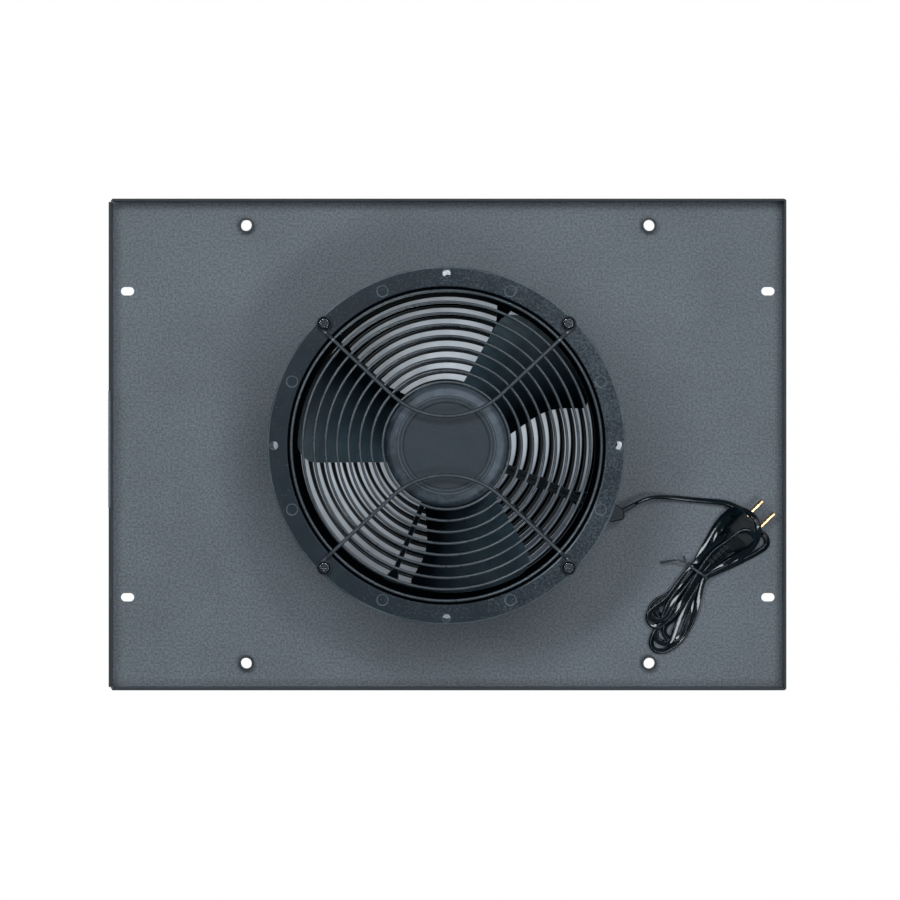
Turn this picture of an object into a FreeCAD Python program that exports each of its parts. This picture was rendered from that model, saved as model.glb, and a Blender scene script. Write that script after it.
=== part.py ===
import FreeCAD, Part
import math
import os

# Rack fan panel: a flanged steel panel that carries a 250 mm axial mains fan with a wire guard on
# each face, and the fan's mains cord, wound into a hank on the panel's inner face.
#
# Millimetres. The origin is the centre of the panel's outer face, on the fan's axis. +Z points into
# the rack, to the fan's intake side, and +X runs along the panel's length.

Vector = FreeCAD.Vector
Z = Vector(0, 0, 1)
ORIGIN = Vector(0, 0, 0)

# ---- Panel ----
RACK_UNIT = 44.45
PANEL_UNITS = 8
PANEL_GAP = 0.8  # what a rack panel is shorter than its units
PANEL_HEIGHT = PANEL_UNITS * RACK_UNIT - PANEL_GAP
SLOT_SPACING_X = 465.1
SLOT_INSET = 11.95  # slot centres, from the panel's ends
PANEL_LENGTH = SLOT_SPACING_X + 2 * SLOT_INSET
SHEET = 1.5
FLANGE_DEPTH = 16.0  # folded edge, from the outer face
BEND_RADIUS = 1.0  # inside radius of the folds
CORNER_NOTCH = 2.4  # open corner where two folds meet
CORNER_RADIUS = 2.0  # closed and dressed corner
TAB_LENGTH = 84.0  # raised middle of the left fold
TAB_RISE = 2.5
TAB_OFFSET = -3.4

SLOT_UNITS = 5
SLOT_SPACING_Y = SLOT_UNITS * RACK_UNIT
SLOT_LENGTH = 9.7
SLOT_WIDTH = 6.1

SLEEVE_SPACING_X = 292.1
SLEEVE_SPACING_Y = 317.5
SLEEVE_BORE_RADIUS = 4.05
SLEEVE_SPIGOT_RADIUS = 4.9
SLEEVE_RADIUS = 5.6
SLEEVE_HEIGHT = 5.0

# ---- Fan housing ----
FAN_RADIUS = 125.0
FAN_DEPTH = 89.0
FAN_FLANGE = 4.0
FLANGE_WIDTH = 18.0  # from the throat to the flanges' edge
THROAT_RADIUS = FAN_RADIUS - FLANGE_WIDTH
BARREL_WALL = 3.0
BELL_RADIUS = 5.0
RIM_CHAMFER = 0.8
HOLE_INSET = 4.6
HOLE_CIRCLE_RADIUS = FAN_RADIUS - HOLE_INSET
HOLE_COUNT = 8
HOLE_RADIUS = 2.8
POST_INSET = 8.4
POST_CIRCLE_RADIUS = FAN_RADIUS - POST_INSET
POST_RADIUS = 3.2
WEB_THICKNESS = 2.5
MARK_RADIUS = 3.85  # shallow moulding mark over each post
MARK_DEPTH = 0.4
BOSS_RADIUS = 4.6
BOSS_HEIGHT = 12.0
BOSS_SPARE = 1.0  # boss below the screw's end

STRUT_GAP = 1.5  # between the panel's inner face and the motor seat and struts
STRUT_DEPTH = 10.0
STRUT_WIDTH = 3.8
STRUT_FOOT_FLARE = 4.1  # each side, where a strut meets the barrel
STRUT_FOOT_LENGTH = 10.0
STRUT_FIRST_ANGLE = 67.5
LEAD_ANGLE = -22.5  # the strut that carries the motor leads
LEAD_STRUT_WIDTH = 6.8
CHANNEL_WIDTH = 4.2
CHANNEL_DEPTH = 3.4
SEAT_RADIUS = 40.0
SEAT_WALL = 3.0
SEAT_FLOOR = 3.0
SEAT_BORE_RADIUS = 15.0

# ---- Motor ----
BEARING_RADIUS = 11.0
BEARING_WIDTH = 7.0
BEARING_RACE = 2.2
BEARING_SHIELD = 0.5
BEARING_SHIELD_INSET = 0.4
SHAFT_RADIUS = 4.0
SHAFT_TAIL = 2.6  # past the rear bearing
TUBE_WALL = 2.9
TUBE_LENGTH = 66.0
BEARING_INSET = 6.5  # rear bearing, from the tube's rear end
SHOULDER_RADIUS = 9.5
BRACKET_FLANGE = 3.0
BRACKET_SCREW_CIRCLE = 30.0
BRACKET_SCREW_COUNT = 3
BRACKET_SCREW_RADIUS = 1.5
BRACKET_SCREW_HEAD_RADIUS = 2.8
BRACKET_SCREW_HEAD = 1.4
BRACKET_SCREW_RECESS = 0.8  # width and depth
STACK_GAP = 15.0  # lamination stack's rear face above the struts
STACK_LENGTH = 26.0
STATOR_RADIUS = 35.1
STATOR_YOKE_RADIUS = 20.0
TOOTH_COUNT = 8
TOOTH_WIDTH = 6.0
TOOTH_TIP = 3.0
TOOTH_OPENING = 3.0
COIL_THICKNESS = 2.6
COIL_OVERHANG = 4.5
COIL_GAP = 0.4
AIR_GAP = 0.5
CAGE_WALL = 2.9
CAGE_OVERLAP = 2.0
CUP_WALL = 1.6
CUP_INSET = 3.0  # from the hub's rear edge
CUP_BOSS_GAP = 1.0  # between the boss and the bearing tube
CUP_BOSS_RADIUS = 9.0
CIRCLIP_RADIUS = 6.5
CIRCLIP_GROOVE = 3.4
CIRCLIP_THICKNESS = 1.0
WASHER_SPRING_THICKNESS = 0.9
END_CAP_THICKNESS = 1.6

# ---- Impeller ----
HUB_WALL = 3.1
HUB_RECESS = 4.5  # hub's face below the fan's
HUB_FACE_THICKNESS = 3.0
HUB_REAR_GAP = 7.0  # hub's rear edge above the struts
HUB_EDGE_RADIUS = 4.0
HUB_DISC_RADIUS = 30.0
HUB_DISC_STEP = 0.8
HUB_RIDGES = (1.8, 4.0)  # outside the disc's edge
HUB_RIDGE = 0.5
BLADE_COUNT = 3
BLADE_TIP_GAP = 2.0
BLADE_ANGLE = 42.0  # middle of the first blade
BLADE_THICKNESS = 2.6
BLADE_TIP_CORNER = 14.0
BLADE_NEAR_DEPTH = (12.5, 15.5)  # intake edge below the fan's face, at the hub and at the tip
BLADE_FAR_RISE = (12.0, 17.0)  # exhaust edge above the struts, at the hub and at the tip
BLADE_CAMBER = 0.6  # slope at the intake edge, as a share of the mean slope
BLADE_NEAR_OFFSET = 12.3  # intake edge: distance from the blade's middle line at the axis
BLADE_NEAR_LEAN = 0.33
# Exhaust edge of the blade drawn along +X: x and y as shares of the tip radius
BLADE_FAR_EDGE = (
    (0.343, -0.232),
    (0.524, -0.255),
    (0.667, -0.291),
    (0.8, -0.386),
    (0.895, -0.476),
    (1.01, -0.552),
)
BLADE_STATIONS = (0.286, 0.457, 0.629, 0.8, 0.933, 1.029)  # sections, as shares of the tip radius
BLADE_OVERRUN = 0.12  # how far a section runs past both edges, as a share of its width
BLADE_SPARE = 1.1  # outline past the tip, as a share of the tip radius
SECTION_POINTS = 7

# ---- Guards ----
RING_WIRE = 2.0
RING_SIDES = 4
RING_COUNT = 9
RING_INNER_GAP = 1.2  # first ring outside the hub
RING_OUTER_GAP = 1.1  # last ring outside the throat
RING_HEIGHT = 3.7  # wire centre above the face that the guard is on
STAY_WIRE = 2.6
STAY_SIDES = 6
STAY_VERTEX = 20.6  # middle of each stay, from the axis
STAY_RAMP_INSET = (11.9, 5.9)  # where a stay drops to the face, inside the hole circle
STAY_RAMP_RADIUS = 5.0
WELD_DEPTH = 0.3
EYELET_RADIUS = 4.1

# ---- Fasteners ----
SCREW_RADIUS = 2.4
SCREW_HEAD_RADIUS = 4.6
SCREW_HEAD = 3.0
SCREW_RECESS = 1.4
SCREW_RECESS_WIDTH = 1.0
SCREW_RECESS_LENGTH = 4.4
SCREW_TAIL = 2.5  # thread past the nut
NUT_FLATS = 8.0
NUT_HEIGHT = 4.0
WASHER_RADIUS = 5.8
WASHER_THICKNESS = 1.0
FIT = 0.05  # radial clearance of a screw in its nut, and of a seated part in its seat
OVERLAP = 1.0  # how far a fused piece runs into the next, and a cut past its piece

# ---- Terminals and cord ----
BLOCK_WIDTH = 13.0
BLOCK_HEIGHT = 12.5
LEAD_RADIUS = 0.8
LEAD_SPACING = 2.0
LEAD_START_RADIUS = 28.0
LEAD_END_INSET = 11.5  # from the flanges' edge
LEAD_SLOPE = 2.0  # how far a lead leans outwards on its way down
LEAD_BEND_RADIUS = 3.0
POCKET_GAP = 0.2  # round the leads' ends in the terminal block
BLOCK_GAP = 1.0  # between the terminal block and the post over it
CLIP_WIDTH = 5.0
CLIP_WALL = 0.9
CLIP_LEG = 5.0
TERMINAL_WIDTH = 2.8
TERMINAL_THICKNESS = 0.8
TERMINAL_SPACING = 6.0
TERMINAL_REACH = 6.0  # past the flanges' edge
CONNECTOR_HEIGHT = 13.0
CONNECTOR_GAP = 0.2
# Past the flanges' edge and across, from one side of the block to the other
CONNECTOR_OUTLINE = ((6.0, -6.5), (13.0, -1.5), (13.0, 1.0), (10.5, 5.0), (5.0, 6.5))
CONNECTOR_CORNER = 1.5
RELIEF_START = (8.0, 1.0)  # past the flanges' edge and across
RELIEF_ANGLE = 29.0
RELIEF_LENGTH = 14.0
RELIEF_SIZES = ((3.8, 6.0), (3.0, 5.0))  # width and height, at both ends
RELIEF_CORNER = 1.4

CORD_WIDTH = 4.6
CORD_ARC_SHARE = 0.45
CORD_FIRST_RUN = 11.0  # straight out of the relief
CORD_POINTS = (
    (156.0, -38.0, 6.2),
    (168.0, -39.2, 4.2),
    (181.0, -40.6, 4.0),
    (193.0, -41.5, 4.3),
    (203.0, -42.6, 5.6),
    (211.0, -46.6, 8.0),
)
HANK_LIFT = 0.3
TIE_WIRE = 1.2
TIE_GAP = 0.2
WAIST_LIFT = TIE_GAP + TIE_WIRE + 0.3  # the tie passes under the waist
# Sections of the hank: centre x, centre y, heading, width, height, and its underside above the panel
HANK_SECTIONS = (
    (150.8, -147.4, 60.0, 12.0, 6.0, HANK_LIFT),
    (155.0, -139.5, 60.0, 27.0, 10.0, HANK_LIFT),
    (161.0, -128.5, 60.0, 32.0, 12.0, HANK_LIFT),
    (169.5, -111.0, 58.0, 25.0, 12.0, HANK_LIFT),
    (180.6, -91.7, 50.0, 16.0, 11.0, WAIST_LIFT),
    (195.0, -77.5, 42.0, 30.0, 16.0, HANK_LIFT),
    (209.0, -66.0, 40.0, 42.0, 19.0, HANK_LIFT),
    (219.0, -58.0, 40.0, 43.0, 19.0, HANK_LIFT),
    (224.5, -53.5, 40.0, 32.0, 12.0, HANK_LIFT),
)

PLUG_FACE = (220.5, -56.0)
PLUG_ANGLE = 44.0
PLUG_ROLL = 9.0  # about its own axis
PLUG_WIDTH = 24.0
PLUG_BACK_WIDTH = 13.0
PLUG_LENGTH = 25.0
PLUG_HEIGHT = 13.0
PLUG_BACK_HEIGHT = 9.0
PLUG_CORNER = 3.0
PLUG_SECTIONS = ((0.0, 1.0, 1.0), (-0.6, 0.95, 1.0))  # share of the length, width and height
PLUG_RELIEF_LENGTH = 18.0
PLUG_RELIEF_RADII = (4.2, 2.7)
PLUG_RIB_COUNT = 5
PLUG_RIB_RISE = 0.8
PLUG_RIB_WIDTH = 1.4
PLUG_BLADE_SPACING = 12.7
PLUG_BLADE_LENGTH = 16.0
PLUG_BLADE_ROOT = 8.0
PLUG_BLADE_WIDTH = 6.35
PLUG_BLADE_THICKNESS = 1.5
PLUG_BLADE_HOLE_RADIUS = 1.6
PLUG_BLADE_HOLE_INSET = 4.0
PLUG_BLADE_CHAMFER = 0.5
PLUG_POCKET_GAP = 0.3

# ---- Levels and radii that several pieces share ----
INNER_FACE = SHEET
FAN_TOP = INNER_FACE + FAN_DEPTH
REAR_FLANGE_TOP = INNER_FACE + FAN_FLANGE
FRONT_FLANGE_UNDER = FAN_TOP - FAN_FLANGE
BARREL_RADIUS = THROAT_RADIUS + BARREL_WALL
CUTOUT_RADIUS = THROAT_RADIUS + BELL_RADIUS
SEAT_BOTTOM = INNER_FACE + STRUT_GAP
SEAT_TOP = SEAT_BOTTOM + SEAT_FLOOR
STRUT_TOP = SEAT_BOTTOM + STRUT_DEPTH
CHANNEL_FLOOR = STRUT_TOP - CHANNEL_DEPTH
LEAD_LEVEL = CHANNEL_FLOOR + LEAD_RADIUS + FIT
TUBE_REAR = SEAT_BOTTOM + FIT
TUBE_FRONT = TUBE_REAR + TUBE_LENGTH
TUBE_RADIUS = BEARING_RADIUS + TUBE_WALL
REAR_BEARING = TUBE_REAR + BEARING_INSET
FRONT_BEARING = TUBE_FRONT - BEARING_WIDTH
SHOULDER_REAR = REAR_BEARING + BEARING_WIDTH + WASHER_SPRING_THICKNESS
STACK_BASE = STRUT_TOP + STACK_GAP
STACK_TOP = STACK_BASE + STACK_LENGTH
CAGE_RADIUS = STATOR_RADIUS + AIR_GAP + CAGE_WALL
CUP_RADIUS = CAGE_RADIUS + CUP_WALL
HUB_RADIUS = CUP_RADIUS + HUB_WALL
HUB_FACE = FAN_TOP - HUB_RECESS
HUB_REAR = STRUT_TOP + HUB_REAR_GAP
HUB_CEILING = HUB_FACE - HUB_FACE_THICKNESS
CUP_CEILING = HUB_CEILING - CUP_WALL
TIP_RADIUS = THROAT_RADIUS - BLADE_TIP_GAP
BLADE_NEAR_HEIGHT = [FAN_TOP - depth for depth in BLADE_NEAR_DEPTH]
BLADE_FAR_HEIGHT = [STRUT_TOP + rise for rise in BLADE_FAR_RISE]
BLADE_FAR_POINTS = [(x * TIP_RADIUS, y * TIP_RADIUS) for x, y in BLADE_FAR_EDGE]
RING_FIRST_RADIUS = HUB_RADIUS + RING_INNER_GAP
RING_PITCH = (THROAT_RADIUS + RING_OUTER_GAP - RING_FIRST_RADIUS) / (RING_COUNT - 1)
STAY_RAMP = [HOLE_CIRCLE_RADIUS - inset for inset in STAY_RAMP_INSET]
BLOCK_TOP = REAR_FLANGE_TOP + BLOCK_HEIGHT
CLIP_RADIUS = (SEAT_RADIUS + THROAT_RADIUS) / 2
LEAD_END_RADIUS = FAN_RADIUS - LEAD_END_INSET
TERMINAL_END = FAN_RADIUS + TERMINAL_REACH
STAY_HEIGHT = RING_HEIGHT + (RING_WIRE + STAY_WIRE) / 2 - WELD_DEPTH
CONNECTOR_BOTTOM = LEAD_LEVEL - CONNECTOR_HEIGHT / 2
PLUG_TILT = math.radians(PLUG_ROLL)
PLUG_CORNER_AT = (PLUG_WIDTH / 2 - PLUG_CORNER, PLUG_HEIGHT / 2 - PLUG_CORNER)
PLUG_DROP = PLUG_CORNER_AT[0] * math.sin(PLUG_TILT) + PLUG_CORNER_AT[1] * math.cos(PLUG_TILT) + PLUG_CORNER
PLUG_LEVEL = INNER_FACE + HANK_LIFT + PLUG_DROP


# ---- Small tools ----
def polar(radius, degrees, z=0.0):
    a = math.radians(degrees)
    return Vector(radius * math.cos(a), radius * math.sin(a), z)


def turned(shape, degrees):
    copy = shape.copy()
    copy.rotate(ORIGIN, Z, degrees)
    return copy


def disc(radius, low, high, centre=ORIGIN):
    return Part.makeCylinder(radius, high - low, Vector(centre.x, centre.y, low))


def ring(outer, inner, low, high, centre=ORIGIN):
    return disc(outer, low, high, centre).cut(disc(inner, low - 1, high + 1, centre))


def block(low, high):
    return Part.makeBox(high[0] - low[0], high[1] - low[1], high[2] - low[2], Vector(*low))


def outline(points, low, high):
    """A prism over a closed outline of x, y points."""
    corners = [Vector(x, y, low) for x, y in points]
    face = Part.Face(Part.makePolygon(corners + corners[:1]))
    return face.extrude(Vector(0, 0, high - low))


def upright(edge):
    return abs(edge.Vertexes[0].Z - edge.Vertexes[-1].Z) > 1


def revolved(edges):
    return Part.Face(Part.Wire(edges)).revolve(ORIGIN, Z, 360)


def profile(points):
    """Straight edges through r, z points in the XZ plane, closed."""
    corners = [Vector(r, 0, z) for r, z in points]
    return Part.makePolygon(corners + corners[:1]).Edges


def bored(shape, radius, circle, angles, low, high):
    for angle in angles:
        shape = shape.cut(disc(radius, low, high, polar(circle, angle)))
    return shape


def rounded_path(points, radii):
    """A wire of straight runs joined by tangent arcs, one radius for each inner point."""
    edges = []
    start = points[0]
    for i, radius in enumerate(radii, 1):
        back = (points[i - 1] - points[i]).normalize()
        on = (points[i + 1] - points[i]).normalize()
        half_turn = (math.pi - back.getAngle(on)) / 2
        reach = radius * math.tan(half_turn)
        middle = (back + on).normalize() * (radius / math.cos(half_turn) - radius)
        first = points[i] + back * reach
        last = points[i] + on * reach
        edges.append(Part.LineSegment(start, first).toShape())
        edges.append(Part.Arc(first, points[i] + middle, last).toShape())
        start = last
    edges.append(Part.LineSegment(start, points[-1]).toShape())
    return Part.Wire(edges)


def tube(path, radius, sides=0):
    """A round bar along a wire, or one with flat sides where a light mesh matters."""
    first = path.Edges[0]
    heading = first.tangentAt(first.FirstParameter)
    section = Part.Wire(Part.makeCircle(radius, path.Vertexes[0].Point, heading))
    if sides:
        corners = section.discretize(sides + 1)
        section = Part.makePolygon(corners[:-1] + corners[:1])
    return path.makePipeShell([section], True, not sides)


def flat_sided_ring(radius, wire, sides, level, centre=ORIGIN):
    """A closed ring of wire with flat sides, about an upright axis through a centre."""
    angles = [2 * math.pi * k / sides for k in range(sides)]
    section = [(radius + wire / 2 * math.cos(a), level + wire / 2 * math.sin(a)) for a in angles]
    return revolved(profile(section)).translated(Vector(centre.x, centre.y, 0))


def write(node, *pieces):
    solids = [solid for piece in pieces for solid in piece.Solids]
    for solid in solids:
        if not solid.isValid() or solid.Volume <= 0:
            raise ValueError("bad solid in " + node)
    shape = solids[0] if len(solids) == 1 else Part.makeCompound(solids)
    shape.exportStep("parts/" + node + ".step")


def placed(shape, x, y, z, degrees):
    """A shape drawn along +X about the origin, moved to a place and heading."""
    copy = shape.copy()
    copy.rotate(ORIGIN, Z, degrees)
    copy.translate(Vector(x, y, z))
    return copy


def rectangle(width, height):
    """The corners of a rectangle about the origin."""
    return [(sx * width / 2, sy * height / 2) for sx in (-1, 1) for sy in (-1, 1)]


SLOT_CENTRES = rectangle(SLOT_SPACING_X, SLOT_SPACING_Y)
SLEEVE_CENTRES = rectangle(SLEEVE_SPACING_X, SLEEVE_SPACING_Y)
HOLE_STEP = 360 / HOLE_COUNT
OPEN_ANGLES = [HOLE_STEP * 2 * i for i in range(HOLE_COUNT // 2)]
GUARD_ANGLES = [a + HOLE_STEP for a in OPEN_ANGLES]
POST_ANGLES = [HOLE_STEP * (i + 0.5) for i in range(HOLE_COUNT)]


# ---- Panel and sleeves ----

def slot(x, y):
    straight = (SLOT_LENGTH - SLOT_WIDTH) / 2
    cut = block((x - straight, y - SLOT_WIDTH / 2, -1), (x + straight, y + SLOT_WIDTH / 2, SHEET + 1))
    for side in (-1, 1):
        cut = cut.fuse(disc(SLOT_WIDTH / 2, -1, SHEET + 1, Vector(x + side * straight, y, 0)))
    return cut.removeSplitter()


def edges_at(shape, test):
    return [e for e in shape.Edges if all(test(v.Point) for v in e.Vertexes)]


def folded_tray():
    """The sheet with its four folds, as high as the raised tab all round."""
    half_x, half_y = PANEL_LENGTH / 2, PANEL_HEIGHT / 2
    high = FLANGE_DEPTH + TAB_RISE
    outer = block((-half_x, -half_y, 0), (half_x, half_y, high))
    right = edges_at(outer, lambda p: p.x > half_x - 0.01)
    outer = outer.makeFillet(CORNER_RADIUS, [e for e in right if upright(e)])
    outer = outer.makeFillet(SHEET + BEND_RADIUS, edges_at(outer, lambda p: p.z < 0.01))
    low, far = (SHEET - half_x, SHEET - half_y, SHEET), (half_x - SHEET, half_y - SHEET, high + OVERLAP)
    inner = block(low, far)
    inner = inner.makeFillet(BEND_RADIUS, edges_at(inner, lambda p: p.z < SHEET + 0.01))
    return outer.cut(inner)


def panel():
    past_x, past_y = PANEL_LENGTH / 2 + OVERLAP, PANEL_HEIGHT / 2 + OVERLAP
    high = FLANGE_DEPTH + TAB_RISE + OVERLAP
    above = block((-past_x, -past_y, FLANGE_DEPTH), (past_x, past_y, high))
    tab_low, tab_high = TAB_OFFSET - TAB_LENGTH / 2, TAB_OFFSET + TAB_LENGTH / 2
    above = above.cut(block((-past_x, tab_low, FLANGE_DEPTH), (0, tab_high, high)))
    tray = folded_tray().cut(above)
    notch_x, notch_y = CORNER_NOTCH - PANEL_LENGTH / 2, PANEL_HEIGHT / 2 - CORNER_NOTCH
    for low, far in ((-past_y, -notch_y), (notch_y, past_y)):
        tray = tray.cut(block((-past_x, low, SHEET + BEND_RADIUS), (notch_x, far, high)))
    for x, y in SLOT_CENTRES:
        tray = tray.cut(slot(x, y))
    for x, y in SLEEVE_CENTRES:
        tray = tray.cut(disc(SLEEVE_SPIGOT_RADIUS + FIT, -1, SHEET + 1, Vector(x, y, 0)))
    tray = tray.cut(disc(CUTOUT_RADIUS, -1, SHEET + 1))
    return bored(tray, HOLE_RADIUS, HOLE_CIRCLE_RADIUS, OPEN_ANGLES + GUARD_ANGLES, -1, SHEET + 1)


def sleeve(x, y):
    centre = Vector(x, y, 0)
    body = disc(SLEEVE_SPIGOT_RADIUS, 0, SHEET, centre)
    body = body.fuse(disc(SLEEVE_RADIUS, SHEET, SHEET + SLEEVE_HEIGHT, centre)).removeSplitter()
    return body.cut(disc(SLEEVE_BORE_RADIUS, -1, SHEET + SLEEVE_HEIGHT + 1, centre))


# ---- Fan housing ----
def barrel():
    """Both flanges, the barrel and the rounded inlet and outlet, turned in one profile."""
    bend = BELL_RADIUS * (1 - math.sqrt(0.5))

    def line(a, b):
        return Part.LineSegment(Vector(a[0], 0, a[1]), Vector(b[0], 0, b[1])).toShape()

    def bell(low, high, middle):
        return Part.Arc(*[Vector(r, 0, z) for r, z in (low, middle, high)]).toShape()

    corners = [
        (CUTOUT_RADIUS, INNER_FACE),
        (FAN_RADIUS, INNER_FACE),
        (FAN_RADIUS, REAR_FLANGE_TOP - RIM_CHAMFER),
        (FAN_RADIUS - RIM_CHAMFER, REAR_FLANGE_TOP),
        (BARREL_RADIUS, REAR_FLANGE_TOP),
        (BARREL_RADIUS, FRONT_FLANGE_UNDER),
        (FAN_RADIUS, FRONT_FLANGE_UNDER),
        (FAN_RADIUS, FAN_TOP - RIM_CHAMFER),
        (FAN_RADIUS - RIM_CHAMFER, FAN_TOP),
        (CUTOUT_RADIUS, FAN_TOP),
    ]
    top, bottom = (THROAT_RADIUS, FAN_TOP - BELL_RADIUS), (THROAT_RADIUS, INNER_FACE + BELL_RADIUS)
    edges = [line(a, b) for a, b in zip(corners, corners[1:])]
    edges.append(bell(corners[-1], top, (THROAT_RADIUS + bend, FAN_TOP - bend)))
    edges.append(line(top, bottom))
    edges.append(bell(bottom, corners[0], (THROAT_RADIUS + bend, INNER_FACE + bend)))
    return revolved(edges)


def strut(width):
    """One strut along +X, from the motor seat to the barrel, with a flared foot."""
    inner, outer = SEAT_RADIUS - SEAT_WALL / 2, THROAT_RADIUS + BARREL_WALL / 2
    foot = THROAT_RADIUS - STRUT_FOOT_LENGTH
    half, wide = width / 2, width / 2 + STRUT_FOOT_FLARE
    points = [(inner, -half), (foot, -half), (outer, -wide), (outer, wide), (foot, half), (inner, half)]
    return outline(points, SEAT_BOTTOM, STRUT_TOP)


def motor_seat():
    seat = disc(SEAT_RADIUS, SEAT_BOTTOM, STRUT_TOP)
    seat = seat.cut(disc(SEAT_RADIUS - SEAT_WALL, SEAT_TOP, STRUT_TOP + 1))
    seat = seat.cut(disc(SEAT_BORE_RADIUS, 0, STRUT_TOP))
    for angle in bracket_screw_angles():
        seat = seat.cut(bracket_screw_form(FIT, SEAT_TOP + 1).translated(polar(BRACKET_SCREW_CIRCLE, angle)))
    return seat


def bracket_screw_angles():
    return [LEAD_ANGLE + 60 + 360 / BRACKET_SCREW_COUNT * i for i in range(BRACKET_SCREW_COUNT)]


def bracket_screw_form(grown, top):
    """A countersunk screw with its head flush with the motor seat's rear face."""
    head, shank = BRACKET_SCREW_HEAD_RADIUS + grown, BRACKET_SCREW_RADIUS + grown
    cone = Part.makeCone(head, shank, BRACKET_SCREW_HEAD, Vector(0, 0, SEAT_BOTTOM))
    return cone.fuse(disc(shank, SEAT_BOTTOM + BRACKET_SCREW_HEAD, top)).removeSplitter()


def column(radius, circle, low, angle):
    """A column under the front flange with a web to the barrel."""
    body = disc(radius, low, FRONT_FLANGE_UNDER, Vector(circle, 0, 0))
    half = WEB_THICKNESS / 2
    web = block((BARREL_RADIUS - OVERLAP, -half, low), (circle, half, FRONT_FLANGE_UNDER))
    return turned(body.fuse(web), angle)


def columns():
    """Posts down to the rear flange, or to the terminal block, and a short boss for each guard screw."""
    shapes = []
    for angle in POST_ANGLES:
        over_block = abs(angle - LEAD_ANGLE) % 360 < 1
        low = BLOCK_TOP + BLOCK_GAP if over_block else REAR_FLANGE_TOP
        shapes.append(column(POST_RADIUS, POST_CIRCLE_RADIUS, low, angle))
    for angle in GUARD_ANGLES:
        shapes.append(column(BOSS_RADIUS, HOLE_CIRCLE_RADIUS, FRONT_FLANGE_UNDER - BOSS_HEIGHT, angle))
    return shapes


def fan_housing():
    struts = [turned(strut(STRUT_WIDTH), STRUT_FIRST_ANGLE + 90 * i) for i in range(3)]
    struts.append(turned(strut(LEAD_STRUT_WIDTH), LEAD_ANGLE))
    shell = barrel().multiFuse(columns() + struts + [motor_seat()])
    half = CHANNEL_WIDTH / 2
    inner = SEAT_RADIUS - SEAT_WALL - OVERLAP
    channel = block((inner, -half, CHANNEL_FLOOR), (BARREL_RADIUS + OVERLAP, half, STRUT_TOP + FIT))
    shell = shell.cut(turned(channel, LEAD_ANGLE))
    above, over_rear = FAN_TOP + OVERLAP, REAR_FLANGE_TOP + OVERLAP
    shell = bored(shell, MARK_RADIUS, POST_CIRCLE_RADIUS, POST_ANGLES, FAN_TOP - MARK_DEPTH, above)
    shell = bored(shell, HOLE_RADIUS, HOLE_CIRCLE_RADIUS, OPEN_ANGLES, 0, above)
    shell = bored(shell, HOLE_RADIUS, HOLE_CIRCLE_RADIUS, GUARD_ANGLES, 0, over_rear)
    low = FRONT_FLANGE_UNDER - BOSS_HEIGHT - OVERLAP
    return bored(shell, SCREW_RADIUS + FIT, HOLE_CIRCLE_RADIUS, GUARD_ANGLES, low, above)


# ---- Motor ----
def motor_bracket():
    flange_top = SEAT_TOP + BRACKET_FLANGE
    body = disc(SEAT_RADIUS - SEAT_WALL - FIT, SEAT_TOP, flange_top)
    body = body.fuse(disc(SEAT_BORE_RADIUS - FIT, TUBE_REAR, SEAT_TOP))
    body = body.fuse(disc(TUBE_RADIUS, flange_top, TUBE_FRONT)).removeSplitter()
    body = body.cut(disc(BEARING_RADIUS, 0, SHOULDER_REAR))
    body = body.cut(disc(SHOULDER_RADIUS, 0, TUBE_FRONT + 1))
    body = body.cut(disc(BEARING_RADIUS, FRONT_BEARING, TUBE_FRONT + 1))
    angles = bracket_screw_angles()
    return bored(body, BRACKET_SCREW_RADIUS + FIT, BRACKET_SCREW_CIRCLE, angles, 0, flange_top + 1)


def bracket_screw(angle):
    top = SEAT_TOP + BRACKET_FLANGE
    screw = bracket_screw_form(0, top)
    half, reach = BRACKET_SCREW_RECESS / 2, 2 * BRACKET_SCREW_RECESS
    cross = block((-reach, -half, 0), (reach, half, SEAT_BOTTOM + BRACKET_SCREW_RECESS))
    for turn in (0, 90):
        screw = screw.cut(turned(cross, turn))
    return screw.translated(polar(BRACKET_SCREW_CIRCLE, angle))


def bearing(low):
    """The inner race, and the outer race with a shield on each side."""
    high = low + BEARING_WIDTH
    inner_race = ring(SHAFT_RADIUS + FIT + BEARING_RACE, SHAFT_RADIUS + FIT, low, high)
    outer_inside = BEARING_RADIUS - BEARING_RACE
    outer_race = ring(BEARING_RADIUS - FIT / 2, outer_inside, low, high)
    lip = SHAFT_RADIUS + BEARING_RACE + 3 * FIT
    levels = (low + BEARING_SHIELD_INSET, high - BEARING_SHIELD_INSET - BEARING_SHIELD)
    shields = [ring(outer_inside, lip, z, z + BEARING_SHIELD) for z in levels]
    return [inner_race, outer_race.multiFuse(shields)]


def stator_core():
    low, high = STACK_BASE, STACK_TOP
    core = disc(STATOR_YOKE_RADIUS, low, high)
    tips = ring(STATOR_RADIUS, STATOR_RADIUS - TOOTH_TIP, low, high)
    half = TOOTH_OPENING / 2
    step = 360 / TOOTH_COUNT
    for i in range(TOOTH_COUNT):
        inner = STATOR_RADIUS - TOOTH_TIP - OVERLAP
        gap = block((inner, -half, low - 1), (STATOR_RADIUS + OVERLAP, half, high + 1))
        tips = tips.cut(turned(gap, (i + 0.5) * step))
    half = TOOTH_WIDTH / 2
    inner, outer = STATOR_YOKE_RADIUS - OVERLAP, STATOR_RADIUS - TOOTH_TIP + OVERLAP
    teeth = [turned(block((inner, -half, low), (outer, half, high)), i * step) for i in range(TOOTH_COUNT)]
    core = core.multiFuse(teeth + [tips]).removeSplitter()
    return core.cut(disc(TUBE_RADIUS + FIT, low - 1, high + 1))


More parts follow.
